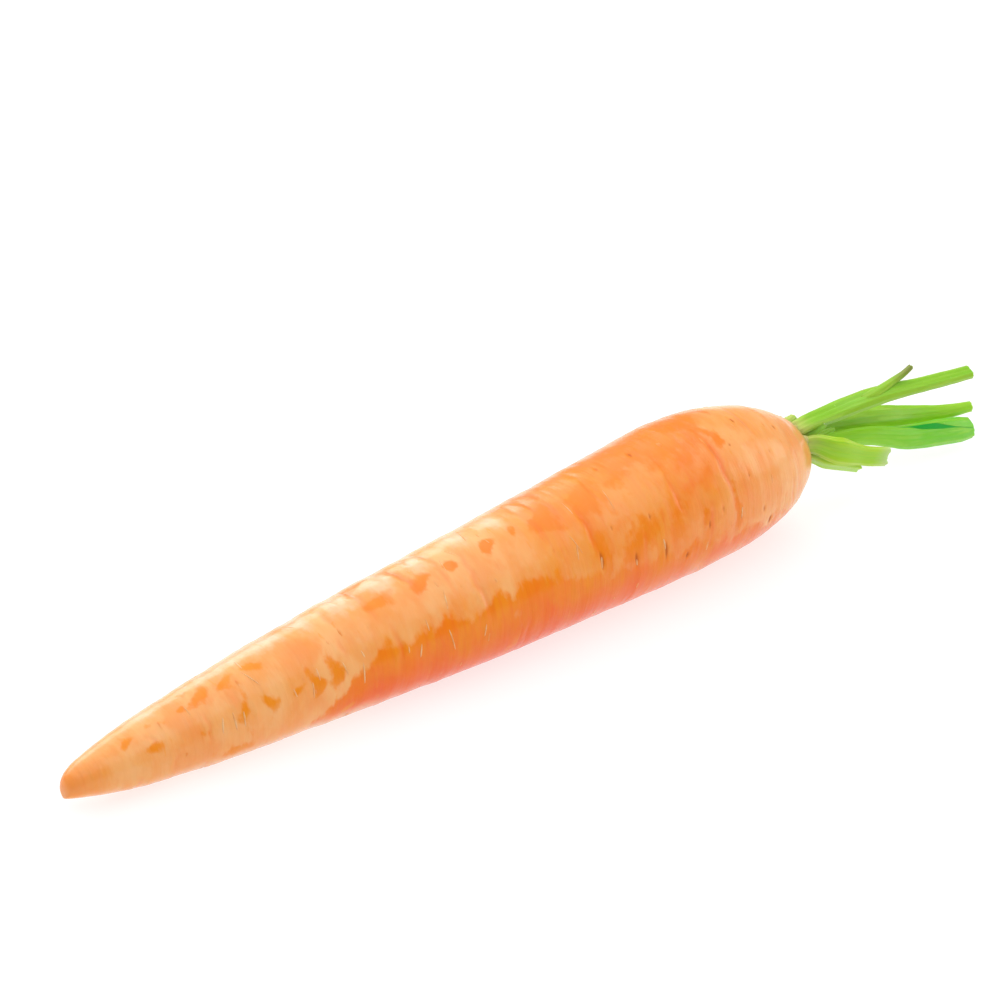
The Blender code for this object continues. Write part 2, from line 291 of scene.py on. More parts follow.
# Each leaf stalk: its place on the ring in degrees; the width, thickness and channel depth of
# its section; the section's size where it stands; its end, as how far it leans out of square in
# degrees, how ragged it is and how bleached; its material; and its way, as knots of (ahead,
# across, up, size, roll) from the middle of the crown.
STALKS = {
    "forked_stalk": (
        112, 4.0, 3.0, 0.4, 0.95, (0, 0.10, 0.0), "stalk_yellow_green",
        [
            (13.3, -0.6, 4.0, 1.15, 0),
            (21.8, -1.4, 4.5, 1.20, 0),
            (29.0, -2.4, 4.6, 1.05, 0),
            (36.4, -3.4, 4.2, 0.92, 0),
            (44.4, -4.1, 3.7, 0.88, 0),
            (52.0, -4.8, 3.3, 0.84, 0),
        ],
    ),
    "middle_stalk": (
        350, 5.0, 2.4, 0.5, 0.72, (0, 0.25, 0.0), "stalk_mid_green",
        [
            (12.0, 4.4, -0.9, 0.84, -4),
            (19.0, 4.1, -2.2, 0.95, -14),
            (26.6, 3.8, -3.7, 1.08, -21),
            (34.9, 3.2, -5.5, 1.08, -23),
            (39.4, 2.9, -6.6, 0.97, -23),
            (45.2, 2.0, -7.7, 0.84, -23),
            (51.7, 0.5, -8.4, 0.64, -23),
            (58.2, -0.9, -8.6, 0.46, -23),
        ],
    ),
    "broad_stalk": (
        294, 5.2, 3.0, 0.6, 0.70, (0, 0.30, 0.0), "stalk_deep_green",
        [
            (12.0, 1.0, -4.0, 0.76, 6),
            (18.0, 0.3, -4.4, 0.73, 18),
            (23.6, -0.5, -5.2, 0.78, 26),
            (30.6, -1.7, -7.2, 0.92, 31),
            (34.5, -2.3, -8.4, 1.02, 31),
            (44.5, -3.1, -10.1, 1.14, 31),
            (51.0, -3.6, -11.2, 1.10, 31),
            (55.0, -3.8, -11.9, 0.90, 31),
        ],
    ),
    "front_stub": (
        172, 6.0, 3.2, 0.6, 0.66, (-14, 0.55, 0.9), "stub_lime_green",
        [
            (8.0, -7.9, -0.9, 0.98, 0),
            (14.0, -8.8, -3.6, 0.74, 0),
            (22.4, -9.5, -6.4, 0.70, 0),
        ],
    ),
    "low_stub": (
        232, 4.8, 2.6, 0.4, 0.76, (30, 0.45, 0.0), "stub_lime_green",
        [
            (7.8, -4.8, -5.0, 0.88, 0),
            (12.1, -5.6, -6.6, 0.82, 0),
            (17.2, -6.3, -8.8, 0.68, 0),
        ],
    ),
    "back_stub": (
        50, 4.2, 2.8, 0.4, 0.84, (20, 0.35, 0.3), "stub_lime_green",
        [
            (3.6, 3.6, 3.4, 0.84, 0),
            (5.6, 4.4, 3.3, 0.80, 0),
        ],
    ),
}

# The side shoot grows out of the forked stalk: how far along that it starts, its section as
# (width, thickness, channel depth, ribs), its end and its knots.
SIDE_SHOOT_START = 0.02
SIDE_SHOOT_SECTION = (2.0, 2.0, 0.1, 7)
SIDE_SHOOT_END = (0, 0.2, 0.0)
SIDE_SHOOT = [
    (21.0, -1.4, 4.5, 1.3, 0),
    (24.0, -1.7, 5.1, 1.35, 0),
    (26.6, -1.8, 5.7, 1.15, 0),
    (30.4, -1.8, 6.7, 0.86, 0),
    (33.4, -1.9, 7.6, 0.74, 0),
    (35.9, -1.9, 8.6, 0.66, 0),
]

# Short pale sheaths inside the ring: (place in degrees, distance from the middle, width, lean
# outwards, length), in millimetres. Their ways have steps of (share of the length, share of the
# lean, size), and the rest of their section is (thickness, channel depth, ribs).
SHEATHS = [
    (150, 2.1, 2.4, 2.0, 8.5),
    (215, 2.2, 2.6, 2.2, 7.0),
    (275, 2.1, 3.0, 1.8, 14.0),
    (335, 2.2, 2.4, 2.2, 6.5),
    (40, 2.1, 2.4, 1.6, 6.0),
    (95, 2.0, 2.0, 1.0, 5.0),
]
SHEATH_STEPS = [(0.0, 0.0, 0.9), (0.3, 0.10, 1.0), (0.7, 0.55, 0.8), (1.0, 1.0, 0.45)]
SHEATH_SECTION = (1.1, 0.3, 7)
SHEATH_END = (0, 0.4, 0.1)

# The young shoot in the middle of the ring.
HEART_SECTION = (1.6, 1.6, 0.1, 5)
HEART_END = (0, 0.1, 0.0)
HEART = [
    (4.0, 0.2, 1.4, 0.9, 0),
    (9.0, -0.4, 1.8, 0.5, 0),
]

# What fixes each random draw.
SKIN_SEED = 7
MARKS_SEED = 19
SIDE_SHOOT_SEED = 11
HEART_SEED = 12
SHEATH_SEED = 20

# The stage: soft lights as (name, the setting of its power, place, aim, size), the camera's place
# and its axes, and how far the floor lies under the carrot.
LIGHTS = [
    ("overhead_softbox", "overhead", (0.0, 0.20, 0.85), (0.0, 0.10, 0.0), (1.5, 2.4)),
    ("crown_softbox", "side", (1.1, -0.45, 0.45), (0.02, 0.0, 0.02), (0.8, 0.6)),
    ("rim_softbox", "rim", (-0.04, 0.82, 0.40), (-0.04, 0.0, 0.0), (0.96, 0.40)),
]
CAMERA_PLACE = (-0.37304, -0.42682, 0.32613)
CAMERA_AXES = Matrix((
    (0.76866, -0.63965, 0.0), (0.30030, 0.36087, 0.88295), (-0.56478, -0.67869, 0.46947),
))
CAMERA_FILM = 36.0
FLOOR_RADIUS = 4.0
FLOOR_DROP = 0.0001
WHITE = (1.0, 1.0, 1.0, 1.0)


# ---------------------------------------------------------------- settings


def colour_setting(name, description, default):
    """A colour that can be changed in the panel."""
    return FloatVectorProperty(
        name=name, description=description, default=default, size=3, min=0.0, max=1.0,
        subtype="COLOR",
    )


def length_setting(name, description, default):
    """A length that can be changed in the panel."""
    return FloatProperty(
        name=name, description=description, default=default, precision=5, unit="LENGTH",
    )


def count_setting(name, description, default, least=0):
    """A whole number that can be changed in the panel."""
    return IntProperty(name=name, description=description, default=default, min=least)


def power_setting(name, description, default):
    """The power of a light, which can be changed in the panel."""
    return FloatProperty(name=name, description=description, default=default, unit="POWER")


class CarrotSkinSettings(bpy.types.PropertyGroup):
    """Sizes and colours of the root's skin."""

    rings: count_setting("Rings", "Rings of faces along the root", 540, 40)
    sides: count_setting("Sides", "Faces round the root", 176, 24)
    swell: length_setting("Swell", "Height of the broad swellings", 0.00030)
    ridges: length_setting("Ridges", "Height of the ridges across the root", 0.00020)
    crinkle: length_setting("Crinkle", "Height of the fine wrinkles", 0.00005)
    folds: count_setting("Folds", "Small folds scattered over the root", 46)
    scars: count_setting("Scars", "Root scars scattered over the root", 44)
    patches: count_setting("Patches", "Patches of stronger orange on the far side", 40)
    orange: colour_setting("Orange", "Skin where it is moist", (0.96, 0.185, 0.002))
    # This orange is also painted shade, on the underside and in the folds.
    deep_and_shade: colour_setting("Deep orange", "Skin in the folds", (0.90, 0.092, 0.004))
    gold: colour_setting("Gold", "Yellower patches", (0.93, 0.285, 0.003))
    patch_orange: colour_setting("Stain", "Patches nearer the crown", (0.92, 0.235, 0.003))
    # This colour is the dry skin and also a painted sheen on the upper side.
    dry_sheen_peach: colour_setting("Peach", "Skin where it has dried", (0.99, 0.47, 0.165))
    tan: colour_setting("Tan", "Darker patches of dried skin", (0.98, 0.385, 0.100))
    # This colour is painted highlight on the swellings.
    highlight_cream: colour_setting("Cream", "Tops of the swellings", (1.0, 0.53, 0.29))
    # This colour is a painted reflection of the pale floor on the underside.
    rosy_reflection: colour_setting("Rosy", "Underside near the tip", (0.98, 0.50, 0.26))
    crown: colour_setting("Crown", "Skin round the leaf stalks", (0.58, 0.38, 0.08))
    scar: colour_setting("Scar", "Bottoms of the root scars", (0.58, 0.12, 0.010))


class CarrotMarksSettings(bpy.types.PropertyGroup):
    """How many small marks lie on the skin, and their colours, in two shades each."""

    lenticels: count_setting("Lenticels", "Corky ridges across the skin", 44)
    rootlets: count_setting("Rootlets", "Dried rootlets scattered over the skin", 26)
    cork: colour_setting("Cork", "Colour of the corky ridges", (0.97, 0.40, 0.12))
    dark_cork: colour_setting("Dark cork", "Patches on the corky ridges", (0.94, 0.27, 0.04))
    rootlet: colour_setting("Rootlet", "Colour of the rootlets", (1.0, 0.55, 0.25))
    dark_rootlet: colour_setting("Dark rootlet", "Patches on rootlets", (0.95, 0.38, 0.12))
    scale: colour_setting("Scale", "Dry scales round the crown", (0.56, 0.52, 0.16))
    dark_scale: colour_setting("Dark scale", "Patches on the scales", (0.42, 0.34, 0.09))


class CarrotStalksSettings(bpy.types.PropertyGroup):
    """Sizes and colours of the leaf stalks."""

    ribs: count_setting("Ribs", "Ribs round a stalk", 11)
    rib_depth: FloatProperty(
        name="Rib depth", description="Depth of the ribs, as a share of the section",
        default=0.035, min=0.0, max=0.2, subtype="FACTOR",
    )
    unevenness: length_setting("Unevenness", "Depth of dents along a stalk", 0.00016)
    yellow_green: colour_setting("Yellow green", "Upper stalks", (0.30, 0.545, 0.012))
    lime: colour_setting("Lime", "Torn stubs", (0.46, 0.68, 0.014))
    mid_green: colour_setting("Mid green", "Middle stalk", (0.33, 0.66, 0.015))
    # This green is also painted shade in the stalks' channels.
    deep_green: colour_setting("Deep green", "Lowest stalk and channels", (0.19, 0.62, 0.022))
    # This green is painted shade, a dark slot on the broad stalk.
    slot: colour_setting("Slot", "Dark hollow of the broad stalk", (0.002, 0.38, 0.020))
    olive: colour_setting("Olive", "Tip of the side shoot", (0.21, 0.21, 0.035))
    sheath: colour_setting("Sheath", "Bases of the stalks", (0.58, 0.60, 0.12))
    brown: colour_setting("Brown", "Feet of the stalks", (0.36, 0.24, 0.06))
    streak: colour_setting("Streak", "Pale streaks along a stalk", (0.54, 0.76, 0.07))
    spot: colour_setting("Spot", "Small pale spots", (0.60, 0.80, 0.25))
    pith: colour_setting("Pith", "Cut and torn ends", (0.56, 0.72, 0.30))


class CarrotStageSettings(bpy.types.PropertyGroup):
    """The floor, the lights and the camera."""

    floor: colour_setting("Floor", "Colour of the floor", (0.32, 0.32, 0.32))
    glow: FloatProperty(
        name="Glow", description="Light that the floor gives off", default=0.74, min=0.0,
    )
    overhead: power_setting("Overhead light", "Soft light above the carrot", 15.4)
    side: power_setting("Side light", "Soft light at the crown's side", 2.6)
    rim: power_setting("Rim light", "Soft strip behind the carrot", 3.4)
    sky: FloatProperty(
        name="Surround", description="Brightness of the white surround", default=0.30, min=0.0,
    )
    lens: FloatProperty(
        name="Lens", description="Focal length of the camera", default=113.652,
        unit="CAMERA",
    )


# ---------------------------------------------------------------- node trees


class Term:
    """A value worked out by a node tree, written as arithmetic."""

    def __init__(self, tree, socket):
        self.tree = tree
        self.socket = socket


def arithmetic(operation, swapped):
    """A method that makes a Math node of a term and another value."""

    def method(self, other):
        sides = (other, self) if swapped else (self, other)
        return calc(self.tree, operation, *sides)

    return method


for sign, math_node in (
    ("add", "ADD"), ("sub", "SUBTRACT"), ("mul", "MULTIPLY"), ("truediv", "DIVIDE"),
    ("pow", "POWER"),
):
    setattr(Term, "__%s__" % sign, arithmetic(math_node, False))
    setattr(Term, "__r%s__" % sign, arithmetic(math_node, True))


def feed(tree, value, socket):
    """Link a term or a socket to a socket, or set the socket to a plain value."""
    if isinstance(value, Term):
        tree.links.new(value.socket, socket)
    elif isinstance(value, bpy.types.NodeSocket):
        tree.links.new(value, socket)
    elif value is not None:
        if socket.type == "RGBA" and len(value) == 3:
            value = (*value, 1.0)
        socket.default_value = value


def node(tree, kind, inputs=None, **settings):
    """A node with its settings made and its inputs fed, by name or by number."""
    made = tree.nodes.new(kind)
    for name, value in settings.items():
        setattr(made, name, value)
    for key, value in (inputs or {}).items():
        feed(tree, value, made.inputs[key])
    return made


def calc(tree, operation, *values):
    """A Math node."""
    made = node(tree, "ShaderNodeMath", dict(enumerate(values)), operation=operation)
    return Term(tree, made.outputs[0])


def vector_of(tree, x, y, z):
    """A vector from three numbers."""
    made = node(tree, "ShaderNodeCombineXYZ", {0: x, 1: y, 2: z})
    return Term(tree, made.outputs[0])


def parts_of(tree, vector):
    """The three numbers of a vector."""
    made = node(tree, "ShaderNodeSeparateXYZ", {0: vector})
    return [Term(tree, socket) for socket in made.outputs]


def position(tree):
    """The place of each point in a geometry tree."""
    return Term(tree, node(tree, "GeometryNodeInputPosition").outputs[0])


def vector_calc(tree, operation, first, second=None, scale=None):
    """A Vector Math node."""
    made = node(tree, "ShaderNodeVectorMath", {0: first, 1: second}, operation=operation)
    if scale is not None:
        feed(tree, scale, made.inputs["Scale"])
    return Term(tree, made.outputs["Value" if operation in ("LENGTH", "DOT_PRODUCT") else 0])


def smooth_step(tree, value, low, high, result_low=0.0, result_high=1.0):
    """A smooth rise from one result to another, clamped at both."""
    made = node(
        tree, "ShaderNodeMapRange", {0: value, 1: low, 2: high, 3: result_low, 4: result_high},
        interpolation_type="SMOOTHSTEP",
    )
    return Term(tree, made.outputs[0])


def noise(tree, vector, seed, scale=1.0, detail=2.0, roughness=0.5, distortion=0.0):
    """Noise between 0 and 1 with a fixed seed."""
    made = node(
        tree, "ShaderNodeTexNoise",
        {
            "Vector": vector, "W": seed, "Scale": scale, "Detail": detail,
            "Roughness": roughness, "Distortion": distortion,
        },
        noise_dimensions="4D",
    )
    return Term(tree, made.outputs[0])


def blended(tree, factor, first, second, mode="MIX"):
    """Two colours mixed."""
    made = node(
        tree, "ShaderNodeMix", {0: factor, 6: first, 7: second}, data_type="RGBA",
        blend_type=mode,
    )
    return Term(tree, made.outputs[2])


def curve_of(tree, value, points):
    """A number read off a curve through points between 0 and 1."""
    made = node(tree, "ShaderNodeFloatCurve", {0: 1.0, 1: value})
    curve = made.mapping.curves[0]
    while len(curve.points) < len(points):
        curve.points.new(0.5, 0.5)
    for point, (x, y) in zip(curve.points, points):
        point.location = (x, y)
        point.handle_type = "AUTO_CLAMPED"
    made.mapping.update()
    return Term(tree, made.outputs[0])


def new_group(name, kind, inputs, outputs):
    """A node group with named sockets. Returns it, its input terms and its output node."""
    tree = bpy.data.node_groups.new(name, kind)
    for label, socket, default in inputs:
        made = tree.interface.new_socket(label, in_out="INPUT", socket_type=socket)
        if default is not None:
            made.default_value = default
    for label, socket in outputs:
        tree.interface.new_socket(label, in_out="OUTPUT", socket_type=socket)
    entry = tree.nodes.new("NodeGroupInput")
    leave = tree.nodes.new("NodeGroupOutput")
    terms = {label: Term(tree, entry.outputs[label]) for label, _, _ in inputs}
    return tree, terms, leave


def placed(tree, group, output, inputs):
    """A node group put into a material. Returns one of its outputs."""
    made = tree.nodes.new("ShaderNodeGroup")
    made.node_tree = group
    for key, value in inputs.items():
        feed(tree, value, made.inputs[key])
    return Term(tree, made.outputs[output])


def named(tree, name, kind="FLOAT"):
    """A named attribute in a geometry tree."""
    made = node(tree, "GeometryNodeInputNamedAttribute", {"Name": name}, data_type=kind)
    return Term(tree, made.outputs[0])


def moved(tree, geometry, **sockets):
    """A geometry whose points are put at a Position or shifted by an Offset."""
    made = node(tree, "GeometryNodeSetPosition", {"Geometry": geometry, **sockets})
    return made.outputs[0]


def along_normal(tree, distance):
    """A shift along the surface's normal."""
    normal = node(tree, "GeometryNodeInputNormal").outputs[0]
    return vector_calc(tree, "SCALE", normal, scale=distance)


def stored(tree, geometry, name, value, kind="FLOAT"):
    """Store a value as a named attribute on the points of a geometry."""
    made = node(
        tree, "GeometryNodeStoreNamedAttribute",
        {"Geometry": geometry, "Name": name, "Value": value}, data_type=kind, domain="POINT",
    )
    return made.outputs[0]


def finish_tree(tree, leave, geometry, material):
    """End a geometry tree: smooth, real and with its material."""
    real = node(tree, "GeometryNodeRealizeInstances", {0: geometry})
    smooth = node(tree, "GeometryNodeSetShadeSmooth", {0: real.outputs[0]})
    finished = node(
        tree, "GeometryNodeSetMaterial", {"Geometry": smooth.outputs[0], "Material": material}
    )
    feed(tree, finished.outputs[0], leave.inputs[0])


# ---------------------------------------------------------------- shared shader effects


def shader_group(name, inputs, output, kind, work):
    """A shader node group, built once."""
    if name in bpy.data.node_groups:
        return bpy.data.node_groups[name]
    tree, terms, leave = new_group(name, "ShaderNodeTree", inputs, [(output, kind)])
    feed(tree, work(tree, terms), leave.inputs[0])
    return tree


VECTOR = "NodeSocketVector"
NUMBER = "NodeSocketFloat"


def patch_mask():
    """Patches with ragged edges."""
    inputs = [
        ("Vector", VECTOR, None), ("Stretch", VECTOR, (1.0, 1.0, 1.0)), ("Seed", NUMBER, 0.0),
        ("Detail", NUMBER, 4.0), ("Threshold", NUMBER, 0.5), ("Softness", NUMBER, 0.05),
    ]

    def work(tree, terms):
        place = vector_calc(tree, "MULTIPLY", terms["Vector"], terms["Stretch"])
        value = noise(tree, place, terms["Seed"], 1.0, terms["Detail"], 0.6, 0.3)
        return smooth_step(
            tree, value, terms["Threshold"] - terms["Softness"],
            terms["Threshold"] + terms["Softness"],
        )

    return shader_group("patch_mask", inputs, "Mask", NUMBER, work)


def plain_noise():
    """Noise stretched along the axes."""
    inputs = [
        ("Vector", VECTOR, None), ("Stretch", VECTOR, (1.0, 1.0, 1.0)), ("Seed", NUMBER, 0.0),
        ("Detail", NUMBER, 3.0),
    ]

    def work(tree, terms):
        place = vector_calc(tree, "MULTIPLY", terms["Vector"], terms["Stretch"])
        return noise(tree, place, terms["Seed"], 1.0, terms["Detail"], 0.55)

    return shader_group("stretched_noise", inputs, "Value", NUMBER, work)


def fine_grain():
    """Height of cells and fine grain."""
    inputs = [("Vector", VECTOR, None), ("Scale", NUMBER, 1000.0), ("Cells", NUMBER, 0.4)]

    def work(tree, terms):
        place = vector_calc(tree, "SCALE", terms["Vector"], scale=terms["Scale"])
        grain = noise(tree, place, 3.0, 1.0, 4.0, 0.6)
        cells = node(tree, "ShaderNodeTexVoronoi", {"Vector": place, "Scale": 0.7})
        return grain * (1.0 - terms["Cells"]) + Term(tree, cells.outputs[0]) * terms["Cells"]

    return shader_group("fine_grain", inputs, "Height", NUMBER, work)


def fibre_streaks():
    """Fine streaks along a stalk, from its strand attribute."""
    inputs = [
        ("Strand", VECTOR, None), ("Across", NUMBER, 6.0), ("Along", NUMBER, 120.0),
        ("Seed", NUMBER, 0.0),
    ]

    def work(tree, terms):
        x, y, z = parts_of(tree, terms["Strand"])
        place = vector_of(
            tree, x * terms["Across"], y * terms["Across"], z * terms["Along"]
        )
        return noise(tree, place, terms["Seed"], 1.0, 3.0, 0.6)

    return shader_group("fibre_streaks", inputs, "Value", NUMBER, work)


def plain_shader(name):
    """A material with its tree and its Principled shader."""
    material = bpy.data.materials.new(name)
    material.use_nodes = True
    tree = material.node_tree
    return material, tree, tree.nodes["Principled BSDF"]


def set_sockets(shader, values):
    """Give a shader's sockets the values that are the same all over a piece."""
    for name, value in values.items():
        shader.inputs[name].default_value = value


def object_place(tree):
    """The Object coordinates in a material."""
    return Term(tree, node(tree, "ShaderNodeTexCoord").outputs["Object"])


def attribute(tree, name, output="Fac"):
    """An attribute of the mesh in a material."""
    made = node(tree, "ShaderNodeAttribute", attribute_name=name)
    return Term(tree, made.outputs[output])


def relief_normal(tree, shader, height, distance, strength=1.0):
    """Feed the shader's normal from a height."""
    made = node(
        tree, "ShaderNodeBump", {"Height": height, "Distance": distance, "Strength": strength}
    )
    feed(tree, made.outputs[0], shader.inputs["Normal"])


# ---------------------------------------------------------------- materials


def skin_material(settings):
    """Carrot skin: patchy orange, a pale orange where it is dry and as a painted sheen on top,
    painted shade redder in the folds and below, painted highlights on the swellings and a painted
    pink reflection of the floor under the tip.
    """
    material, tree, shader = plain_shader("carrot_skin")
    place = object_place(tree)
    along = attribute(tree, "along") * 1000.0
    facing = attribute(tree, "facing")
    fold = attribute(tree, "fold")
    scar = attribute(tree, "scar")
    patch = attribute(tree, "patch")
    crest = attribute(tree, "crest")

    def patches(stretch, seed, threshold, softness, detail=4.0):
        return placed(tree, patch_mask(), "Mask", {
            "Vector": place, "Stretch": stretch, "Seed": seed, "Threshold": threshold,
            "Softness": softness, "Detail": detail,
        })

    def grain(stretch, seed, detail=3.0):
        return placed(tree, plain_noise(), "Value", {
            "Vector": place, "Stretch": stretch, "Seed": seed, "Detail": detail,
        })

    def along_root(points):
        return curve_of(tree, along / CURVE_LENGTH, points)

    ragged = grain((210.0, 120.0, 120.0), 11.0, 5.0) - 0.5
    bands = grain((420.0, 60.0, 60.0), 12.0) - 0.5
    torn = grain((430.0, 300.0, 300.0), 13.0) - 0.5
    broken = grain((90.0, 70.0, 70.0), 16.0, 4.0) - 0.5
    far = smooth_step(tree, attribute(tree, "far"), -0.2, 0.4)

    # Where the skin is dry, and where a sheen is painted on its upper side, which is above a
    # ragged line and outside the orange patches.
    limit = along_root(DRY_SHEEN_LIMIT) * 2.0 - 1.0
    edge = facing + ragged * 0.9 + bands * 0.2 + broken * far * 3.5
    dried_and_sheen = smooth_step(tree, edge, limit - 0.07, limit + 0.07)
    blotch = smooth_step(tree, patch + torn * 1.6 + ragged * 1.0, 0.28, 0.80)
    mottle = patches((170.0, 90.0, 90.0), 15.0, 0.50, 0.10, 6.0)
    dried_and_sheen = dried_and_sheen * (1.0 - blotch * 0.85) * (along_root(DRY_SHEEN_SHARE) - mottle * 0.35)

    # Moist orange, with painted shade darker below, with the dry colours and the painted sheen,
    # painted highlights and a painted reflection, and then the marks laid over it.
    golden = patches((60.0, 45.0, 45.0), 1.0, 0.50, 0.14)
    colour = blended(tree, golden, settings.orange, settings.gold)
    # Painted shade: a darker orange on the lower side.
    low = smooth_step(tree, facing * -1.0 + ragged * 0.6, -0.35, 0.75)
    colour = blended(tree, low * along_root(UNDERSIDE_SHADE_SHARE), colour, settings.deep_and_shade)
    streaks = patches((900.0, 70.0, 70.0), 2.0, 0.56, 0.10)
    colour = blended(tree, streaks * 0.22, colour, settings.deep_and_shade)
    tanned = patches((120.0, 60.0, 60.0), 7.0, 0.52, 0.16)
    dry_sheen_peach = blended(tree, tanned, settings.dry_sheen_peach, settings.tan)
    colour = blended(tree, dried_and_sheen, colour, dry_sheen_peach)
    # Painted highlight: pale patches on the tops of the swellings.
    pale = smooth_step(tree, crest + ragged * 1.3 + torn * 1.0, 0.22, 0.80)
    colour = blended(tree, pale * 0.85, colour, settings.highlight_cream)
    # Painted reflection of the pale floor: pink on the underside, most near the tip.
    under = smooth_step(tree, facing * -1.0 + ragged * 0.5, 0.35, 0.70)
    colour = blended(tree, under * along_root(ROSY_REFLECTION_SHARE), colour, settings.rosy_reflection)
    # Patches of gold and stronger orange, which also break the painted sheen.
    nearer = smooth_step(tree, along, 50.0, 90.0)
    patch_orange = blended(tree, nearer, settings.gold, settings.patch_orange)
    colour = blended(tree, blotch * 0.75, colour, patch_orange)
    flecks = patches((700.0, 160.0, 160.0), 5.0, 0.66, 0.03)
    colour = blended(tree, flecks * 0.35, colour, settings.gold)
    # Painted shade: a darker orange in the folds.
    colour = blended(tree, fold * 0.42, colour, settings.deep_and_shade)
    crown = smooth_step(tree, along + ragged * 5.0, 183.4, 186.0)
    colour = blended(tree, crown * 0.8, colour, settings.crown)
    colour = blended(tree, smooth_step(tree, scar, 0.20, 1.0) * 0.9, colour, settings.scar)
    feed(tree, colour, shader.inputs["Base Color"])

    # Waxy sheen, duller in the scars and on the crown.
    roughness = smooth_step(tree, ragged + dried_and_sheen * 0.1, -0.2, 0.3, 0.36, 0.52)
    feed(tree, roughness, shader.inputs["Roughness"])
    coat = smooth_step(tree, bands + ragged * 0.5 - crown, -0.4, 0.2, 0.35, 0.95)
    feed(tree, coat * (1.0 - scar * 0.9), shader.inputs["Coat Weight"])
    set_sockets(shader, {
        "Coat Roughness": 0.20, "Coat IOR": 1.37, "IOR": 1.45, "Specular IOR Level": 0.15,
        "Subsurface Weight": 0.18, "Subsurface Radius": (1.0, 0.35, 0.08),
        "Subsurface Scale": 0.0025,
    })

    # Fine lines across the root, and cells.
    cells = placed(tree, fine_grain(), "Height", {"Vector": place, "Scale": 1400.0})
    lines = grain((1500.0, 110.0, 110.0), 21.0)
    relief_normal(tree, shader, cells * 0.25 + lines * 0.75, 0.00018, 0.7)
    return material


def cork_material(name, colour, shade, seed):
    """Dry corky bits on the skin, patchy between a colour and a darker shade."""
    material, tree, shader = plain_shader(name)
    place = object_place(tree)
    mask = placed(tree, patch_mask(), "Mask", {
        "Vector": place, "Stretch": (900.0, 500.0, 500.0), "Seed": seed, "Threshold": 0.5,
        "Softness": 0.15,
    })
    feed(tree, blended(tree, mask, colour, shade), shader.inputs["Base Color"])
    feed(tree, smooth_step(tree, mask, 0.0, 1.0, 0.45, 0.62), shader.inputs["Roughness"])
    set_sockets(shader, {
        "Subsurface Weight": 0.15, "Subsurface Radius": (1.0, 0.4, 0.1),
        "Subsurface Scale": 0.001,
    })
    cells = placed(tree, fine_grain(), "Height", {"Vector": place, "Scale": 4000.0})
    relief_normal(tree, shader, cells, 0.00008, 0.6)
    return material


def stalk_material(name, near, far, change, slot, settings):
    """Leaf stalk: fine streaks along it, olive at its base, pale pith where it is cut.

    It goes from the colour near to the colour far over the part of its way given by change.
    slot is the strength of a painted shade, a dark slot along the outside of the stalk's far
    half.
    """
    material, tree, shader = plain_shader(name)
    place = object_place(tree)
    strand = attribute(tree, "strand", "Vector")
    along = attribute(tree, "along")
    cut = attribute(tree, "cut")
    side, inner, reach = parts_of(tree, strand)
    reach = reach * 1000.0

    def streaks(across, lengthways, seed):
        return placed(tree, fibre_streaks(), "Value", {
            "Strand": strand, "Across": across, "Along": lengthways, "Seed": seed,
        })

    broad = streaks(1.6, 90.0, 1.0)
    fine = streaks(7.0, 60.0, 2.0)
    colour = blended(tree, smooth_step(tree, along + broad - 0.5, *change), near, far)
    pale = smooth_step(tree, broad, 0.46, 0.62)
    colour = blended(tree, pale * 0.28, colour, settings.streak)
    dark = smooth_step(tree, fine, 0.50, 0.66)
    colour = blended(tree, dark * 0.40, colour, settings.deep_green)
    # Painted shade: the inner side, in the channel, is a darker green.
    channel = smooth_step(tree, inner + (broad - 0.5) * 0.6, 0.55, 0.95)
    colour = blended(tree, channel * 0.35, colour, settings.deep_green)
    base = smooth_step(tree, reach + (fine - 0.5) * 4.0, 6.5, 0.5)
    colour = blended(tree, base * 0.75, colour, settings.sheath)
    foot = smooth_step(tree, reach + (broad - 0.5) * 5.0, 2.6, 0.0)
    colour = blended(tree, foot * 0.6, colour, settings.brown)
    spots = placed(tree, patch_mask(), "Mask", {
        "Vector": place, "Stretch": (520.0, 900.0, 900.0), "Seed": 9.0, "Threshold": 0.70,
        "Softness": 0.05,
    })
    colour = blended(tree, spots * 0.35, colour, settings.spot)
    # Painted shade: a dark slot along the broad stalk, with a slight dent in its relief.
    hollow = slot_shade_mask(tree, side, inner, reach) * slot
    colour = blended(tree, hollow, colour, settings.slot)
    colour = blended(tree, cut, colour, settings.pith)
    feed(tree, colour, shader.inputs["Base Color"])
    roughness = smooth_step(tree, fine + cut, 0.3, 0.9, 0.34, 0.50)
    feed(tree, roughness, shader.inputs["Roughness"])
    coat = smooth_step(tree, cut + spots + hollow, 0.0, 1.0, 0.40, 0.05)
    feed(tree, coat, shader.inputs["Coat Weight"])
    set_sockets(shader, {
        "Coat Roughness": 0.25, "Specular IOR Level": 0.25, "Subsurface Weight": 0.30,
        "Subsurface Radius": (0.5, 1.0, 0.15), "Subsurface Scale": 0.0015,
    })
    height = fine * 0.7 + streaks(16.0, 200.0, 4.0) * 0.3 - hollow
    relief_normal(tree, shader, height, 0.00020, 0.7)
    return material


def slot_shade_mask(tree, side, inner, reach):
    """Where the painted shade of the slot lies on a stalk, which it crosses on a slant. reach is
    in millimetres.
    """
    turn = calc(tree, "ARCTAN2", inner, side)
    ahead = reach - SLOT_MIDDLE
    apart = calc(tree, "ABSOLUTE", turn - (SLOT_TURN + ahead * SLOT_SLANT))
    ends = smooth_step(tree, calc(tree, "ABSOLUTE", ahead), SLOT_HALF_LENGTH, 1.0)
    return smooth_step(tree, apart - SLOT_HALF_WIDTH * ends, 0.07, -0.05)


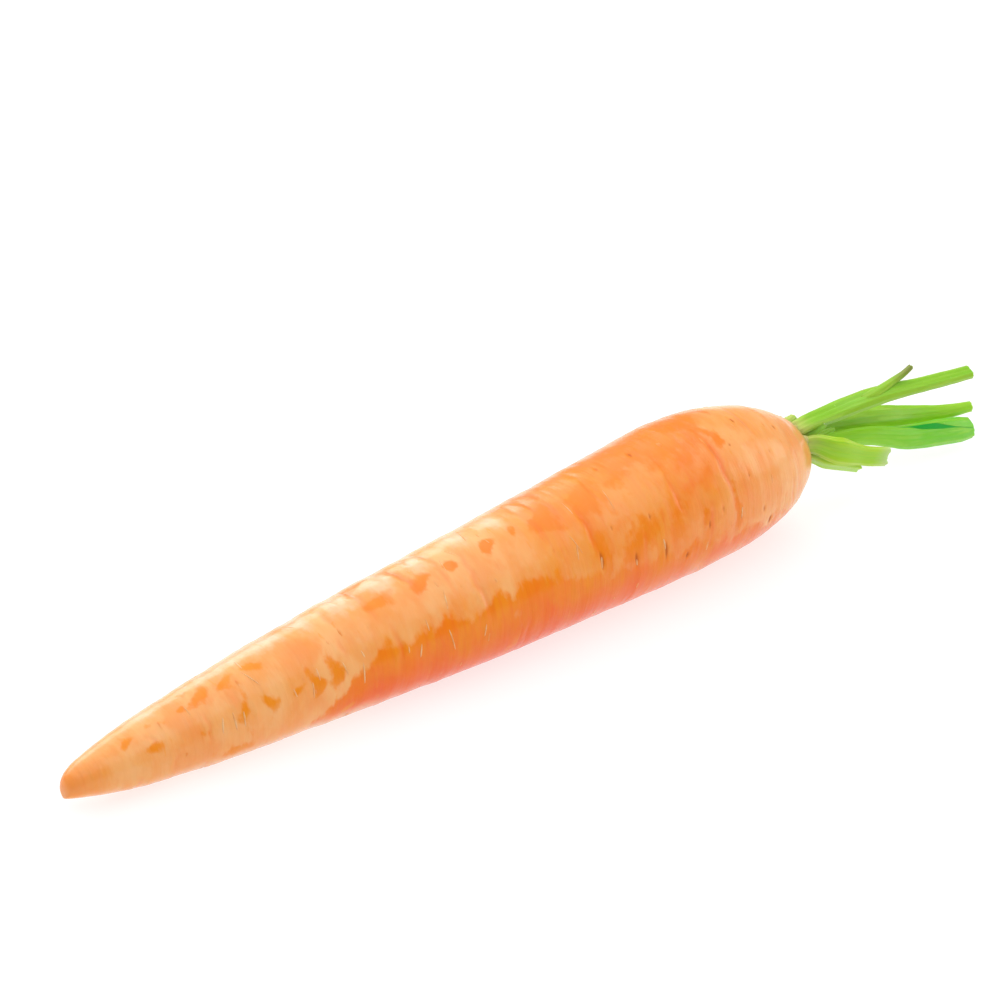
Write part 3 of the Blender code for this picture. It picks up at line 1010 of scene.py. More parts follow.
def stalk_materials(settings):
    """The greens of the stalks, by name."""
    green = settings.yellow_green
    rows = {
        "stalk_yellow_green": (green, green, (0.2, 0.8), 0.0),
        "stub_lime_green": (green, settings.lime, (0.0, 0.4), 0.0),
        "stalk_mid_green": (green, settings.mid_green, (0.2, 0.8), 0.0),
        # Only the broad stalk's material has the slot of painted shade.
        "stalk_deep_green": (settings.mid_green, settings.deep_green, (0.2, 0.8), 1.0),
        "side_shoot_olive": (green, settings.olive, (0.5, 0.95), 0.0),
        "young_shoot_green": (settings.sheath, green, (0.2, 0.8), 0.0),
    }
    return {name: stalk_material(name, *row, settings) for name, row in rows.items()}


def floor_material(settings):
    """Plain pale paper, which glows a little."""
    material, tree, shader = plain_shader("studio_paper")
    place = object_place(tree)
    tooth = placed(tree, plain_noise(), "Value", {
        "Vector": place, "Stretch": (40.0, 40.0, 40.0), "Seed": 1.0, "Detail": 4.0,
    })
    shade = tuple(0.985 * part for part in settings.floor)
    feed(tree, blended(tree, tooth, settings.floor, shade), shader.inputs["Base Color"])
    set_sockets(shader, {
        "Roughness": 0.9, "Specular IOR Level": 0.2, "Emission Color": WHITE,
        "Emission Strength": settings.glow,
    })
    return material


# ---------------------------------------------------------------- geometry trees


def linked(name, data):
    """A new object in the scene."""
    obj = bpy.data.objects.new(name, data)
    bpy.context.scene.collection.objects.link(obj)
    return obj


def grown(name, tree, values, mesh=None):
    """The mesh that a geometry tree makes."""
    host = linked(name + "_host", mesh or bpy.data.meshes.new(name + "_host"))
    modifier = host.modifiers.new(name, "NODES")
    modifier.node_group = tree
    for item in tree.interface.items_tree:
        if item.item_type == "SOCKET" and item.in_out == "INPUT" and item.name in values:
            modifier[item.identifier] = values[item.name]
    bpy.context.view_layer.update()
    graph = bpy.context.evaluated_depsgraph_get()
    made = bpy.data.meshes.new_from_object(
        host.evaluated_get(graph), preserve_all_data_layers=True, depsgraph=graph
    )
    host.modifiers.remove(modifier)
    bpy.data.objects.remove(host, do_unlink=True)
    made.name = name
    return made


GEOMETRY = ("Geometry", "NodeSocketGeometry")
MATERIAL = ("Material", "NodeSocketMaterial", None)


def root_tree():
    """The root turned from its profile, bent and laid down, with its uneven skin."""
    tree, size, leave = new_group("turned_root", "GeometryNodeTree", [
        ("Rings", "NodeSocketInt", 540), ("Sides", "NodeSocketInt", 176),
        ("Crown Rings", "NodeSocketInt", 12),
        ("Taper Length", NUMBER, TAPER_LENGTH), ("Greatest Radius", NUMBER, GREATEST_RADIUS),
        ("Shoulder Length", NUMBER, SHOULDER_LENGTH),
        ("Swell", NUMBER, 0.0003), ("Ridges", NUMBER, 0.0002), ("Crinkle", NUMBER, 0.00005),
        ("Seed", NUMBER, 4.0), MATERIAL,
    ], [GEOMETRY])
    blank = node(tree, "GeometryNodeMeshCylinder", {
        "Vertices": size["Sides"], "Side Segments": size["Rings"],
        "Fill Segments": size["Crown Rings"], "Radius": 1.0, "Depth": 1.0,
    }, fill_type="TRIANGLE_FAN")

    # Each point of the cylinder gives a share of the way from tip to crown, a share of the way
    # out from the axis and a turn round it.
    x, y, z = parts_of(tree, position(tree))
    bottom_up = z + 0.5
    flat = vector_calc(tree, "MULTIPLY", position(tree), (1.0, 1.0, 0.0))
    middle = calc(tree, "MINIMUM", vector_calc(tree, "LENGTH", flat), 1.0)
    turn = calc(tree, "ARCTAN2", y, x)

    # The profile: a taper, then a shoulder that rounds in to the crown and dips there.
    step = calc(tree, "MINIMUM", bottom_up / TAPER_SHARE, 1.0)
    along = size["Taper Length"] * step ** TAPER_SPREAD
    further = calc(tree, "MAXIMUM", (bottom_up - TAPER_SHARE) / (1.0 - TAPER_SHARE), 0.0)
    reach = calc(tree, "SINE", further * math.asin(CROWN_REACH))
    taper = size["Greatest Radius"] * (along / size["Taper Length"]) ** TAPER_POWER
    taper = taper + TIP_RADIUS * calc(tree, "EXPONENT", along * (-1.0 / TIP_ROUNDING))
    rounded = (1.0 - reach ** SHOULDER_FULLNESS) ** SHOULDER_POWER
    radius = taper * rounded * middle
    on_crown = smooth_step(tree, bottom_up, 0.9, 1.0)
    dip = smooth_step(tree, middle, 1.0, 0.86) * on_crown
    distance = along + size["Shoulder Length"] * reach - dip * CROWN_DIP

    # The axis: it sways from side to side, and lifts at the tip and at the crown.
    wave = calc(tree, "COSINE", distance * (TAU * SWAY_WAVES / CROWN_LENGTH))
    side = SWAY_MIDDLE + SWAY * wave
    tip = calc(tree, "MAXIMUM", 1.0 - along / TIP_LIFT_LENGTH, 0.0)
    lift = CROWN_RISE * reach * reach + TIP_LIFT * tip * tip * tip
    height = (1.0 - OVALNESS) * taper + lift - REST_DEPTH

    # The section, a slight oval that leans back towards the crown.
    oval = 1.0 + OVALNESS * calc(tree, "COSINE", turn * 2.0)
    across = radius * calc(tree, "COSINE", turn)
    up = radius * calc(tree, "SINE", turn)
    past = calc(tree, "MAXIMUM", distance - TAPER_LENGTH, 0.0)
    lean = smooth_step(tree, past, 0.0, CROWN_LENGTH - TAPER_LENGTH) * math.tan(CROWN_TILT)
    laid = vector_of(
        tree, TIP_X + distance - up * lean, side + across * oval, height + up * oval
    )
    kept = stored(tree, blank.outputs["Mesh"], "along", distance)
    kept = stored(tree, kept, "turn", turn)
    kept = stored(tree, kept, "facing", calc(tree, "SINE", turn))
    kept = stored(tree, kept, "far", calc(tree, "COSINE", turn))
    kept = stored(tree, kept, "laid", laid, "FLOAT_VECTOR")
    bent = moved(tree, kept, Position=named(tree, "laid", "FLOAT_VECTOR"))

    # The uneven skin, with broad swellings, ridges across the root and fine wrinkles.
    def relief(stretch, offset, detail, depth):
        place = vector_calc(tree, "MULTIPLY", position(tree), stretch)
        value = noise(tree, place, size["Seed"] + offset, 1.0, detail)
        return (value - 0.5) * depth * 2.0

    lump = relief((70.0, 60.0, 60.0), 0.0, 2.0, size["Swell"])
    lump = lump + relief((300.0, 34.0, 34.0), 1.0, 3.0, size["Ridges"])
    lump = lump + relief((1300.0, 90.0, 90.0), 2.0, 2.0, size["Crinkle"])
    calm = smooth_step(tree, named(tree, "along"), 0.0, 0.004)
    uneven = moved(tree, bent, Offset=along_normal(tree, lump * calm))
    finish_tree(tree, leave, uneven, size["Material"])
    return tree


def marks_tree():
    """Slim closed marks laid on the skin, across the root, where the host's points are."""
    tree, terms, leave = new_group("marks_on_skin", "GeometryNodeTree", [
        ("Places", "NodeSocketGeometry", None), ("Skin", "NodeSocketObject", None),
        ("Segments", "NodeSocketInt", 6), ("Rings", "NodeSocketInt", 8), MATERIAL,
    ], [GEOMETRY])
    skin = node(tree, "GeometryNodeObjectInfo", {"Object": terms["Skin"]})
    bead = node(tree, "GeometryNodeMeshUVSphere", {
        "Segments": terms["Segments"], "Rings": terms["Rings"], "Radius": 1.0,
    })
    turned = node(tree, "GeometryNodeTransform", {
        "Geometry": bead.outputs["Mesh"], "Rotation": (math.pi / 2, 0.0, 0.0),
    })
    kept = stored(tree, turned.outputs[0], "unit", position(tree), "FLOAT_VECTOR")
    upright = node(tree, "FunctionNodeAlignRotationToVector",
                   {"Vector": named(tree, "outward", "FLOAT_VECTOR")}, axis="Z")
    crosswise = node(tree, "FunctionNodeAlignRotationToVector", {
        "Rotation": upright.outputs[0], "Vector": named(tree, "crosswise", "FLOAT_VECTOR"),
    }, axis="Y", pivot_axis="Z")
    spread = vector_of(tree, named(tree, "half_width"), named(tree, "half_length"), FLAT)
    spots = node(tree, "GeometryNodeInstanceOnPoints", {
        "Points": terms["Places"], "Instance": kept, "Rotation": crosswise.outputs[0],
        "Scale": spread,
    })
    real = node(tree, "GeometryNodeRealizeInstances", {0: spots.outputs[0]})
    nearest = node(tree, "GeometryNodeProximity", {0: skin.outputs["Geometry"]},
                   target_element="FACES")
    outward = node(tree, "GeometryNodeSampleNearestSurface", {
        "Mesh": skin.outputs["Geometry"],
        "Value": node(tree, "GeometryNodeInputNormal").outputs[0],
    }, data_type="FLOAT_VECTOR")
    level = parts_of(tree, named(tree, "unit", "FLOAT_VECTOR"))[2]
    raised = vector_calc(tree, "SCALE", outward.outputs[0],
                         scale=level * named(tree, "height") + named(tree, "lift"))
    there = vector_calc(tree, "ADD", nearest.outputs["Position"], raised)
    laid = moved(tree, real.outputs[0], Position=there)
    finish_tree(tree, leave, laid, terms["Material"])
    return tree


def stalk_tree():
    """A stalk swept along its way, ribbed outside and channelled on its inner side."""
    tree, size, leave = new_group("swept_stalk", "GeometryNodeTree", [
        ("Way", "NodeSocketObject", None), ("Points", "NodeSocketInt", 120),
        ("Sides", "NodeSocketInt", 44), ("Width", NUMBER, 0.004),
        ("Thickness", NUMBER, 0.003), ("Channel", NUMBER, 0.0004),
        ("Ribs", "NodeSocketInt", 11), ("Rib Depth", NUMBER, 0.03),
        ("Unevenness", NUMBER, 0.0001), ("Length", NUMBER, 0.05), ("Start", NUMBER, 0.0),
        ("Seed", NUMBER, 0.0), MATERIAL,
    ], [GEOMETRY])
    way = node(tree, "GeometryNodeObjectInfo", {"Object": size["Way"]})
    even = node(tree, "GeometryNodeResampleCurve",
                {"Curve": way.outputs["Geometry"], "Count": size["Points"]})
    factor = Term(tree, node(tree, "GeometryNodeSplineParameter").outputs["Factor"])
    spine = stored(tree, even.outputs[0], "along", factor)
    circle = node(tree, "GeometryNodeCurvePrimitiveCircle",
                  {"Resolution": size["Sides"], "Radius": 1.0})
    x, y, _ = parts_of(tree, position(tree))
    turn = calc(tree, "ARCTAN2", y, x)
    rib = 1.0 + size["Rib Depth"] * calc(tree, "COSINE", turn * size["Ribs"])
    across = 0.5 * size["Width"] * calc(tree, "COSINE", turn) * rib
    rise = 0.5 * size["Thickness"] * calc(tree, "SINE", turn) * rib
    bent = 3.0 * across / size["Width"]
    hollow = calc(tree, "MAXIMUM", 1.0 - bent * bent, 0.0) * size["Channel"]
    rise = rise - hollow * smooth_step(tree, rise, 0.0, size["Channel"])
    ring = stored(tree, circle.outputs[0], "turn", turn)
    swept = node(tree, "GeometryNodeCurveToMesh", {
        "Curve": spine,
        "Profile Curve": moved(tree, ring, Position=vector_of(tree, across, rise, 0.0)),
        "Scale": node(tree, "GeometryNodeInputRadius").outputs[0],
    })
    around = named(tree, "turn")
    strand = vector_of(tree, calc(tree, "COSINE", around), calc(tree, "SINE", around),
                       named(tree, "along") * size["Length"] + size["Start"])
    kept = stored(tree, swept.outputs[0], "strand", strand, "FLOAT_VECTOR")
    x, y, z = parts_of(tree, named(tree, "strand", "FLOAT_VECTOR"))
    bumps = noise(tree, vector_of(tree, x * 0.9, y * 0.9, z * 190.0), size["Seed"], 1.0, 3.0)
    dent = (bumps - 0.5) * size["Unevenness"] * 2.0
    uneven = moved(tree, kept, Offset=along_normal(tree, dent))
    finish_tree(tree, leave, uneven, size["Material"])
    return tree


def scales_tree():
    """Dry scale-like remains of old leaves round the crown."""
    tree, size, leave = new_group("crown_scales", "GeometryNodeTree", [
        ("Count", "NodeSocketInt", 22), ("Ring Radius", NUMBER, 0.0062),
        ("Length", NUMBER, 0.0017), ("Seed", "NodeSocketInt", 3), MATERIAL,
    ], [GEOMETRY])
    ring = node(tree, "GeometryNodeMeshCircle",
                {"Vertices": size["Count"], "Radius": size["Ring Radius"]}, fill_type="NONE")

    # One scale: a thin flap, cupped and narrower at its free end.
    bead = node(tree, "GeometryNodeMeshUVSphere", {"Segments": 8, "Rings": 7, "Radius": 1.0})
    x, y, z = parts_of(tree, position(tree))
    taper = 1.0 - smooth_step(tree, z, 0.0, 1.0) * 0.35
    cupped = x * 0.12 - z * z * 0.10 - y * y * 0.20
    shape = vector_of(tree, cupped, y * 0.60 * taper, z * 0.50 + 0.25)
    flap = moved(tree, bead.outputs["Mesh"], Position=shape)
    facing = node(tree, "FunctionNodeAlignRotationToVector", {"Vector": position(tree)},
                  axis="X", pivot_axis="Z")

    def varied(low, high, offset):
        seed = calc(tree, "ADD", size["Seed"], offset)
        made = node(tree, "FunctionNodeRandomValue", {2: low, 3: high, "Seed": seed},
                    data_type="FLOAT")
        return Term(tree, made.outputs[1])

    tilt = node(tree, "FunctionNodeRotateRotation", {
        "Rotation": facing.outputs[0],
        "Rotate By": vector_of(tree, varied(-0.35, 0.35, 1), varied(-0.1, 0.5, 2),
                               varied(-0.3, 0.3, 3)),
    }, rotation_space="LOCAL")
    spread = size["Length"] * varied(0.55, 1.25, 4)
    spots = node(tree, "GeometryNodeInstanceOnPoints", {
        "Points": ring.outputs[0], "Instance": flap, "Rotation": tilt.outputs[0],
        "Scale": spread,
    })
    finish_tree(tree, leave, spots.outputs[0], size["Material"])
    return tree


# ---------------------------------------------------------------- work on meshes


def column(mesh, name, width=1):
    """An attribute's numbers."""
    data = mesh.attributes[name].data
    values = np.zeros(len(data) * width)
    data.foreach_get("value" if width == 1 else "vector", values)
    return values if width == 1 else values.reshape(-1, width)


def keep_column(mesh, name, values):
    """Store numbers as an attribute of the mesh's points."""
    made = mesh.attributes.new(name, "FLOAT", "POINT")
    made.data.foreach_set("value", values.astype(np.float32))


def point_vectors(items, name):
    """Vectors of all points, one in each row."""
    values = np.zeros(len(items) * 3)
    items.foreach_get(name, values)
    return values.reshape(-1, 3)


def turn_apart(turn, degrees):
    """The angle from a place given in degrees to each turn, the short way round."""
    return (turn - math.radians(degrees) + math.pi) % TAU - math.pi


def widths_apart(turn, degrees, half_width):
    """The same angle in half widths, which are given in degrees."""
    return turn_apart(turn, degrees) / math.radians(half_width)


def bell(value, width):
    """A smooth hill."""
    return np.exp(-((value / width) ** 2))


def scattered_folds(count, dice):
    """Small folds in random places, more of them near the shoulder."""
    rows = []
    for _ in range(count):
        along = 6.0 + 176.0 * dice.random() ** 0.75
        rows.append((
            along, dice.uniform(0, 360), dice.uniform(14, 46), dice.uniform(-0.9, 0.9),
            dice.uniform(0.05, 0.15), dice.uniform(0.36, 0.62),
        ))
    return rows


def scattered_scars(count, dice):
    """Root scars near the four rows that side roots grow in."""
    rows = []
    for _ in range(count):
        along = dice.uniform(14, 178)
        turn = dice.integers(0, 4) * 90 + 48 + dice.normal(0, 13)
        if PALE_SIDE[0] < turn < PALE_SIDE[1] and along < PALE_LENGTH:
            turn += SCAR_SHIFT
        rows.append((along, turn, dice.uniform(0.5, 1.5), dice.uniform(0.14, 0.30)))
    return rows


def scattered_patches(count, dice):
    """Patches of a stronger orange on the far side and below."""
    return [
        (
            dice.uniform(8, 180), dice.uniform(190, 435), dice.uniform(1.2, 4.0),
            dice.uniform(6, 20), dice.uniform(0.5, 1.0),
        )
        for _ in range(count)
    ]


def work_skin(mesh, settings):
    """Press folds, swellings and root scars into the skin, and note where they are."""
    along = column(mesh, "along") / MM
    turn = column(mesh, "turn")
    points = point_vectors(mesh.vertices, "co")
    normals = point_vectors(mesh.vertex_normals, "vector")
    taper = np.clip(along * MM / TAPER_LENGTH, 0.0, 1.0) ** TAPER_POWER
    girth = GREATEST_RADIUS / MM * taper
    dice = np.random.default_rng(SKIN_SEED)
    raised, fold, scar, patch, crest = (np.zeros(len(along)) for _ in range(5))
    for place, middle, half, bow, depth, width in FOLDS + scattered_folds(settings.folds, dice):
        away = widths_apart(turn, middle, half)
        near = np.clip(1.0 - away ** 2, 0.0, 1.0) ** 1.5
        phase = dice.uniform(0, TAU, 3)
        near = near * (0.7 + 0.3 * np.cos(turn * 5.0 + phase[0]))
        waver = 0.30 * np.cos(turn * 7.0 + phase[1]) + 0.16 * np.cos(turn * 17.0 + phase[2])
        apart = along - place - bow * away ** 2 - waver
        groove = bell(apart, width) * near
        raised += depth * (0.6 * bell(apart + 1.9 * width, 1.6 * width) * near - groove)
        # Where the folds get painted shade.
        fold = np.maximum(fold, groove * min(1.0, depth / FULL_FOLD))
    for place, middle, length, half, height in SWELLS:
        hill = bell(along - place, length) * bell(widths_apart(turn, middle, half), 1.0)
        raised += height * hill
    # Where pale highlights are painted on the swellings.
    for place, middle, length, half, strength in CREST_HIGHLIGHTS:
        hill = bell(along - place, length) * bell(widths_apart(turn, middle, half), 1.0)
        crest = np.maximum(crest, strength * hill)
    for place, middle, length, depth in SCARS + scattered_scars(settings.scars, dice):
        across = turn_apart(turn, middle) * girth
        pit = bell(along - place, PIT_WIDTH) * bell(across, length)
        cushion = bell(along - place, CUSHION_WIDTH) * bell(across, 1.35 * length)
        raised += depth * (0.55 * cushion - 1.15 * pit)
        scar = np.maximum(scar, np.clip(pit * depth / FULL_SCAR, 0.0, 1.0))
    rows = PATCHES + scattered_patches(settings.patches, dice)
    for place, middle, length, half, strength in rows:
        away = widths_apart(turn, middle, half)
        phase = dice.uniform(0, TAU, 2)
        apart = (along - place) / length + 0.45 * np.sin(2.1 * away + phase[0])
        away = away * (1.0 + 0.35 * np.sin(1.7 * apart + phase[1]))
        patch = np.maximum(patch, strength * bell(apart, 1.0) * bell(away, 1.0))
    calm = np.clip((CROWN_LENGTH / MM - 1.0 - along) / 3.0, 0.0, 1.0)
    calm *= np.clip(along / 4.0, 0.0, 1.0)
    points += normals * (raised * calm * MM)[:, None]
    low, high = (np.array(corner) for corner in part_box("taproot"))
    points = np.clip(points, low, high)
    mesh.vertices.foreach_set("co", points.ravel())
    mesh.update()
    keep_column(mesh, "fold", fold * calm)
    keep_column(mesh, "scar", scar * calm)
    keep_column(mesh, "patch", patch)
    keep_column(mesh, "crest", crest)


def marks_mesh(name, skin, rows):
    """Points on the skin with what a mark needs to lie there.

    rows: (along, degrees, half length, half width, height, lift, skew), in millimetres but for
    the degrees and the skew, which is how far the mark leans along the root.
    """
    along = column(skin.data, "along") / MM
    turn = column(skin.data, "turn")
    places = []
    columns = {"half_length": [], "half_width": [], "height": [], "lift": []}
    outward = []
    crosswise = []
    for place, degrees, *sizes, skew in rows:
        apart = (along - place) ** 2 + (turn_apart(turn, degrees) * MEAN_RADIUS) ** 2
        vertex = skin.data.vertices[int(np.argmin(apart))]
        normal = vertex.normal.copy()
        places.append(vertex.co.copy())
        outward.append(normal)
        crosswise.append(normal.cross(Vector((1, 0, 0))) + Vector((float(skew), 0, 0)))
        for values, value in zip(columns.values(), sizes):
            values.append(value * MM)
    mesh = bpy.data.meshes.new(name)
    mesh.from_pydata(places, [], [])
    for key, values in columns.items():
        keep_column(mesh, key, np.array(values))
    for key, values in (("outward", outward), ("crosswise", crosswise)):
        made = mesh.attributes.new(key, "FLOAT_VECTOR", "POINT")
        made.data.foreach_set("vector", np.array(values, np.float32).ravel())
    return mesh


def ordered_loop(edges):
    """The corners of a closed loop of edges, in order."""
    loop = list(edges[0].verts)
    left = set(edges[1:])
    while left:
        step = next(edge for edge in left if loop[-1] in edge.verts)
        left.discard(step)
        follow = step.other_vert(loop[-1])
        if follow is loop[0]:
            break
        loop.append(follow)
    return loop


def open_ends(shape, along):
    """The loops of corners round a swept stalk's far end and its near end."""
    ends = {True: [], False: []}
    for edge in shape.edges:
        if edge.is_boundary:
            ends[edge.verts[0][along] > 0.5].append(edge)
    return ordered_loop(ends[True]), ordered_loop(ends[False])


def close_loop(shape, loop, ahead, cap, layers, reach):
    """Close an open end with the rings of a cap, which shrink towards its middle."""
    middle = sum((corner.co for corner in loop), Vector()) / len(loop)
    last = loop
    cut, along, strand = layers
    for shrink, sink, mark in cap:
        ring = []
        for corner in loop:
            made = shape.verts.new(middle + (corner.co - middle) * shrink - ahead * sink)
            made[cut] = mark
            made[along] = corner[along]
            made[strand] = Vector(corner[strand]) * shrink
            made[strand].z = reach
            ring.append(made)
        for index, corner in enumerate(last):
            after = (index + 1) % len(last)
            shape.faces.new((corner, last[after], ring[after], ring[index]))
        last = ring
    tip = shape.verts.new(middle - ahead * cap[-1][1])
    tip[cut] = cap[-1][2]
    tip[along] = loop[0][along]
    for index, corner in enumerate(last):
        shape.faces.new((corner, last[(index + 1) % len(last)], tip))


def finish_ends(mesh, ahead, way_back, slant, ragged, bleached, seed, size):
    """Tear or cut the far end of a stalk, and close both ends.

    The far end leans out of square by slant degrees, and its teeth are ragged millimetres deep.
    """
    dice = np.random.default_rng(seed)
    phases = dice.uniform(0, TAU, 4)
    shape = bmesh.new()
    shape.from_mesh(mesh)
    along = shape.verts.layers.float["along"]
    strand = shape.verts.layers.float_vector["strand"]
    cut = shape.verts.layers.float.new("cut")
    far, _ = open_ends(shape, along)
    tip = sum((corner.co for corner in far), Vector()) / len(far)
    lean = math.tan(math.radians(slant))
    facing = (ahead + lean * Vector((0.0, 0.0, 1.0))).normalized()
    plane = tip - ahead * (size * abs(lean) + ragged * MM)
    for corner in shape.verts:
        over = (corner.co - plane).dot(facing)
        corner[cut] = bleached * min(1.0, max(0.0, 1.0 + over / BLEACH_LENGTH)) ** 1.5
        if corner[along] < 0.5:
            continue
        turn = math.atan2(corner[strand].y, corner[strand].x)
        teeth = sum(
            math.cos(turn * count + phase) / (index + 1.0)
            for index, (count, phase) in enumerate(zip((2, 5, 9, 16), phases))
        )
        over -= teeth * 0.45 * ragged * MM
        if over > 0.0:
            corner.co -= ahead * over / ahead.dot(facing)
    reach = far[0][strand].z
    bmesh.ops.remove_doubles(shape, verts=shape.verts, dist=WELD)
    far, near = open_ends(shape, along)
    layers = (cut, along, strand)
    close_loop(shape, far, ahead, FAR_CAP, layers, reach)
    close_loop(shape, near, way_back, NEAR_CAP, layers, 0.0)
    bmesh.ops.recalc_face_normals(shape, faces=shape.faces)
    shape.to_mesh(mesh)
    shape.free()
    mesh.shade_smooth()


def way_object(name, points, sizes, rolls):
    """A helper curve through points, with sizes and rolls along its way."""
    curve = bpy.data.curves.new(name, "CURVE")
    curve.dimensions = "3D"
    curve.twist_mode = "Z_UP"
    curve.resolution_u = 16
    spline = curve.splines.new("BEZIER")
    spline.bezier_points.add(len(points) - 1)
    for knot, place, size, roll in zip(spline.bezier_points, points, sizes, rolls):
        knot.co = place
        knot.radius = size
        knot.tilt = roll
        knot.handle_left_type = "AUTO"
        knot.handle_right_type = "AUTO"
    return linked(name, curve)


def crown_point(across, up, out):
    """A point on the crown, or out of it."""
    return CROWN_MIDDLE + Vector((0.0, across, 0.0)) + up * CROWN_UP + out * CROWN_OUT


def knot_places(knots):
    """The places of knots, which are given in millimetres from the middle of the crown."""
    return [CROWN_MIDDLE + Vector(knot[:3]) * MM for knot in knots]


def stalk_way(angle, base_size, knots, ring=RING_RADIUS):
    """Points, sizes and rolls of a stalk's way from its place on the ring."""
    across = ring * math.cos(angle)
    up = ring * math.sin(angle)
    points = [crown_point(across, up, GAP), crown_point(across, up, GAP + STRAIGHT_START)]
    points += knot_places(knots)
    sizes = [base_size] * 2 + [knot[3] for knot in knots]
    turns = [0.0] * 2 + [knot[4] for knot in knots]
    rolls = [angle + math.pi / 2 + math.radians(turn) for turn in turns]
    return points, sizes, rolls


def sheath_way(angle, apart, lean, length):
    """Points, sizes and rolls of a short sheath's way, which leans out of the ring."""
    points = []
    for share, bend, _ in SHEATH_STEPS:
        away = (apart + lean * bend) * MM
        points.append(crown_point(
            away * math.cos(angle), away * math.sin(angle), GAP + length * share * MM
        ))
    sizes = [size for _, _, size in SHEATH_STEPS]
    return points, sizes, [angle + math.pi / 2] * len(points)


def swept(name, way, section, end, material, settings, seed, start=0.0):
    """Mesh of one stalk swept along its way, with finished ends."""
    points, sizes, rolls = way
    width, thickness, channel, ribs = section
    length = sum((after - before).length for before, after in zip(points, points[1:]))
    helper = way_object(name + "_way", points, sizes, rolls)
    mesh = grown(name, bpy.data.node_groups["swept_stalk"], {
        "Way": helper, "Points": max(FEWEST_POINTS, int(length / POINT_SPACING)),
        "Width": width * MM, "Thickness": thickness * MM, "Channel": channel * MM, "Ribs": ribs,
        "Rib Depth": settings.rib_depth, "Unevenness": settings.unevenness,
        "Length": length, "Start": start, "Seed": float(seed), "Material": material,
    })
    bpy.data.objects.remove(helper, do_unlink=True)
    ahead = (points[-1] - points[-2]).normalized()
    back = (points[0] - points[1]).normalized()
    finish_ends(mesh, ahead, back, *end, seed, 0.5 * width * MM * sizes[-1])
    return mesh


def add_piece(name, mesh, slot, *nodes):
    """One finished piece of the carrot, riding on its body and standing for CAD nodes."""
    obj = linked(name, mesh)
    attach(obj, "root")
    if nodes:
        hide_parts(*nodes)
    return obj


# ---------------------------------------------------------------- operators


class CARROT_OT_skin(bpy.types.Operator):
    """Make the root's skin"""

    bl_idname = "carrot.skin"
    bl_label = "Root skin"

    def execute(self, context):
        settings = context.scene.carrot_skin
        mesh = grown("root_skin", root_tree(), {
            "Rings": settings.rings, "Sides": settings.sides, "Swell": settings.swell,
            "Ridges": settings.ridges, "Crinkle": settings.crinkle,
            "Material": skin_material(settings),
        })
        work_skin(mesh, settings)
        add_piece("root_skin", mesh, "carrot_skin", "taproot")
        return {"FINISHED"}


class CARROT_OT_marks(bpy.types.Operator):
    """Lay lenticels and rootlets on the skin"""

    bl_idname = "carrot.marks"
    bl_label = "Lenticels and rootlets"

    def execute(self, context):
        settings = context.scene.carrot_marks
        skin = bpy.data.objects["root_skin"]
        tree = marks_tree()
        dice = np.random.default_rng(MARKS_SEED)
        cork_rows = [
            (
                12.0 + 170.0 * dice.random(), dice.uniform(-50, 225), dice.uniform(0.4, 1.3),
                dice.uniform(0.18, 0.34), dice.uniform(0.04, 0.07), LENTICEL_LIFT,
                dice.uniform(-0.15, 0.15),
            )
            for _ in range(settings.lenticels)
        ]
        hair_rows = [
            (along, turn, long, ROOTLET_SPREAD * wide, ROOTLET_HEIGHT, ROOTLET_LIFT, skew)
            for (along, turn, long, wide), skew in zip(ROOTLETS, itertools.cycle(ROOTLET_SKEWS))
        ]
        hair_rows += [
            (
                dice.uniform(10, 175), dice.uniform(-50, 150), dice.uniform(0.8, 2.6),
                dice.uniform(0.10, 0.17), ROOTLET_HEIGHT, ROOTLET_LIFT,
                dice.uniform(-0.4, 0.4),
            )
            for _ in range(settings.rootlets)
        ]
        cork = cork_material("lenticel_cork", settings.cork, settings.dark_cork, 3.0)
        hair = cork_material("rootlet_fibre", settings.rootlet, settings.dark_rootlet, 4.0)
        for name, rows, material in (
            ("skin_lenticels", cork_rows, cork), ("skin_rootlets", hair_rows, hair),
        ):
            places = marks_mesh(name + "_places", skin, rows)
            mesh = grown(name, tree, {"Skin": skin, "Material": material}, places)
            add_piece(name, mesh, "carrot_skin")
        return {"FINISHED"}


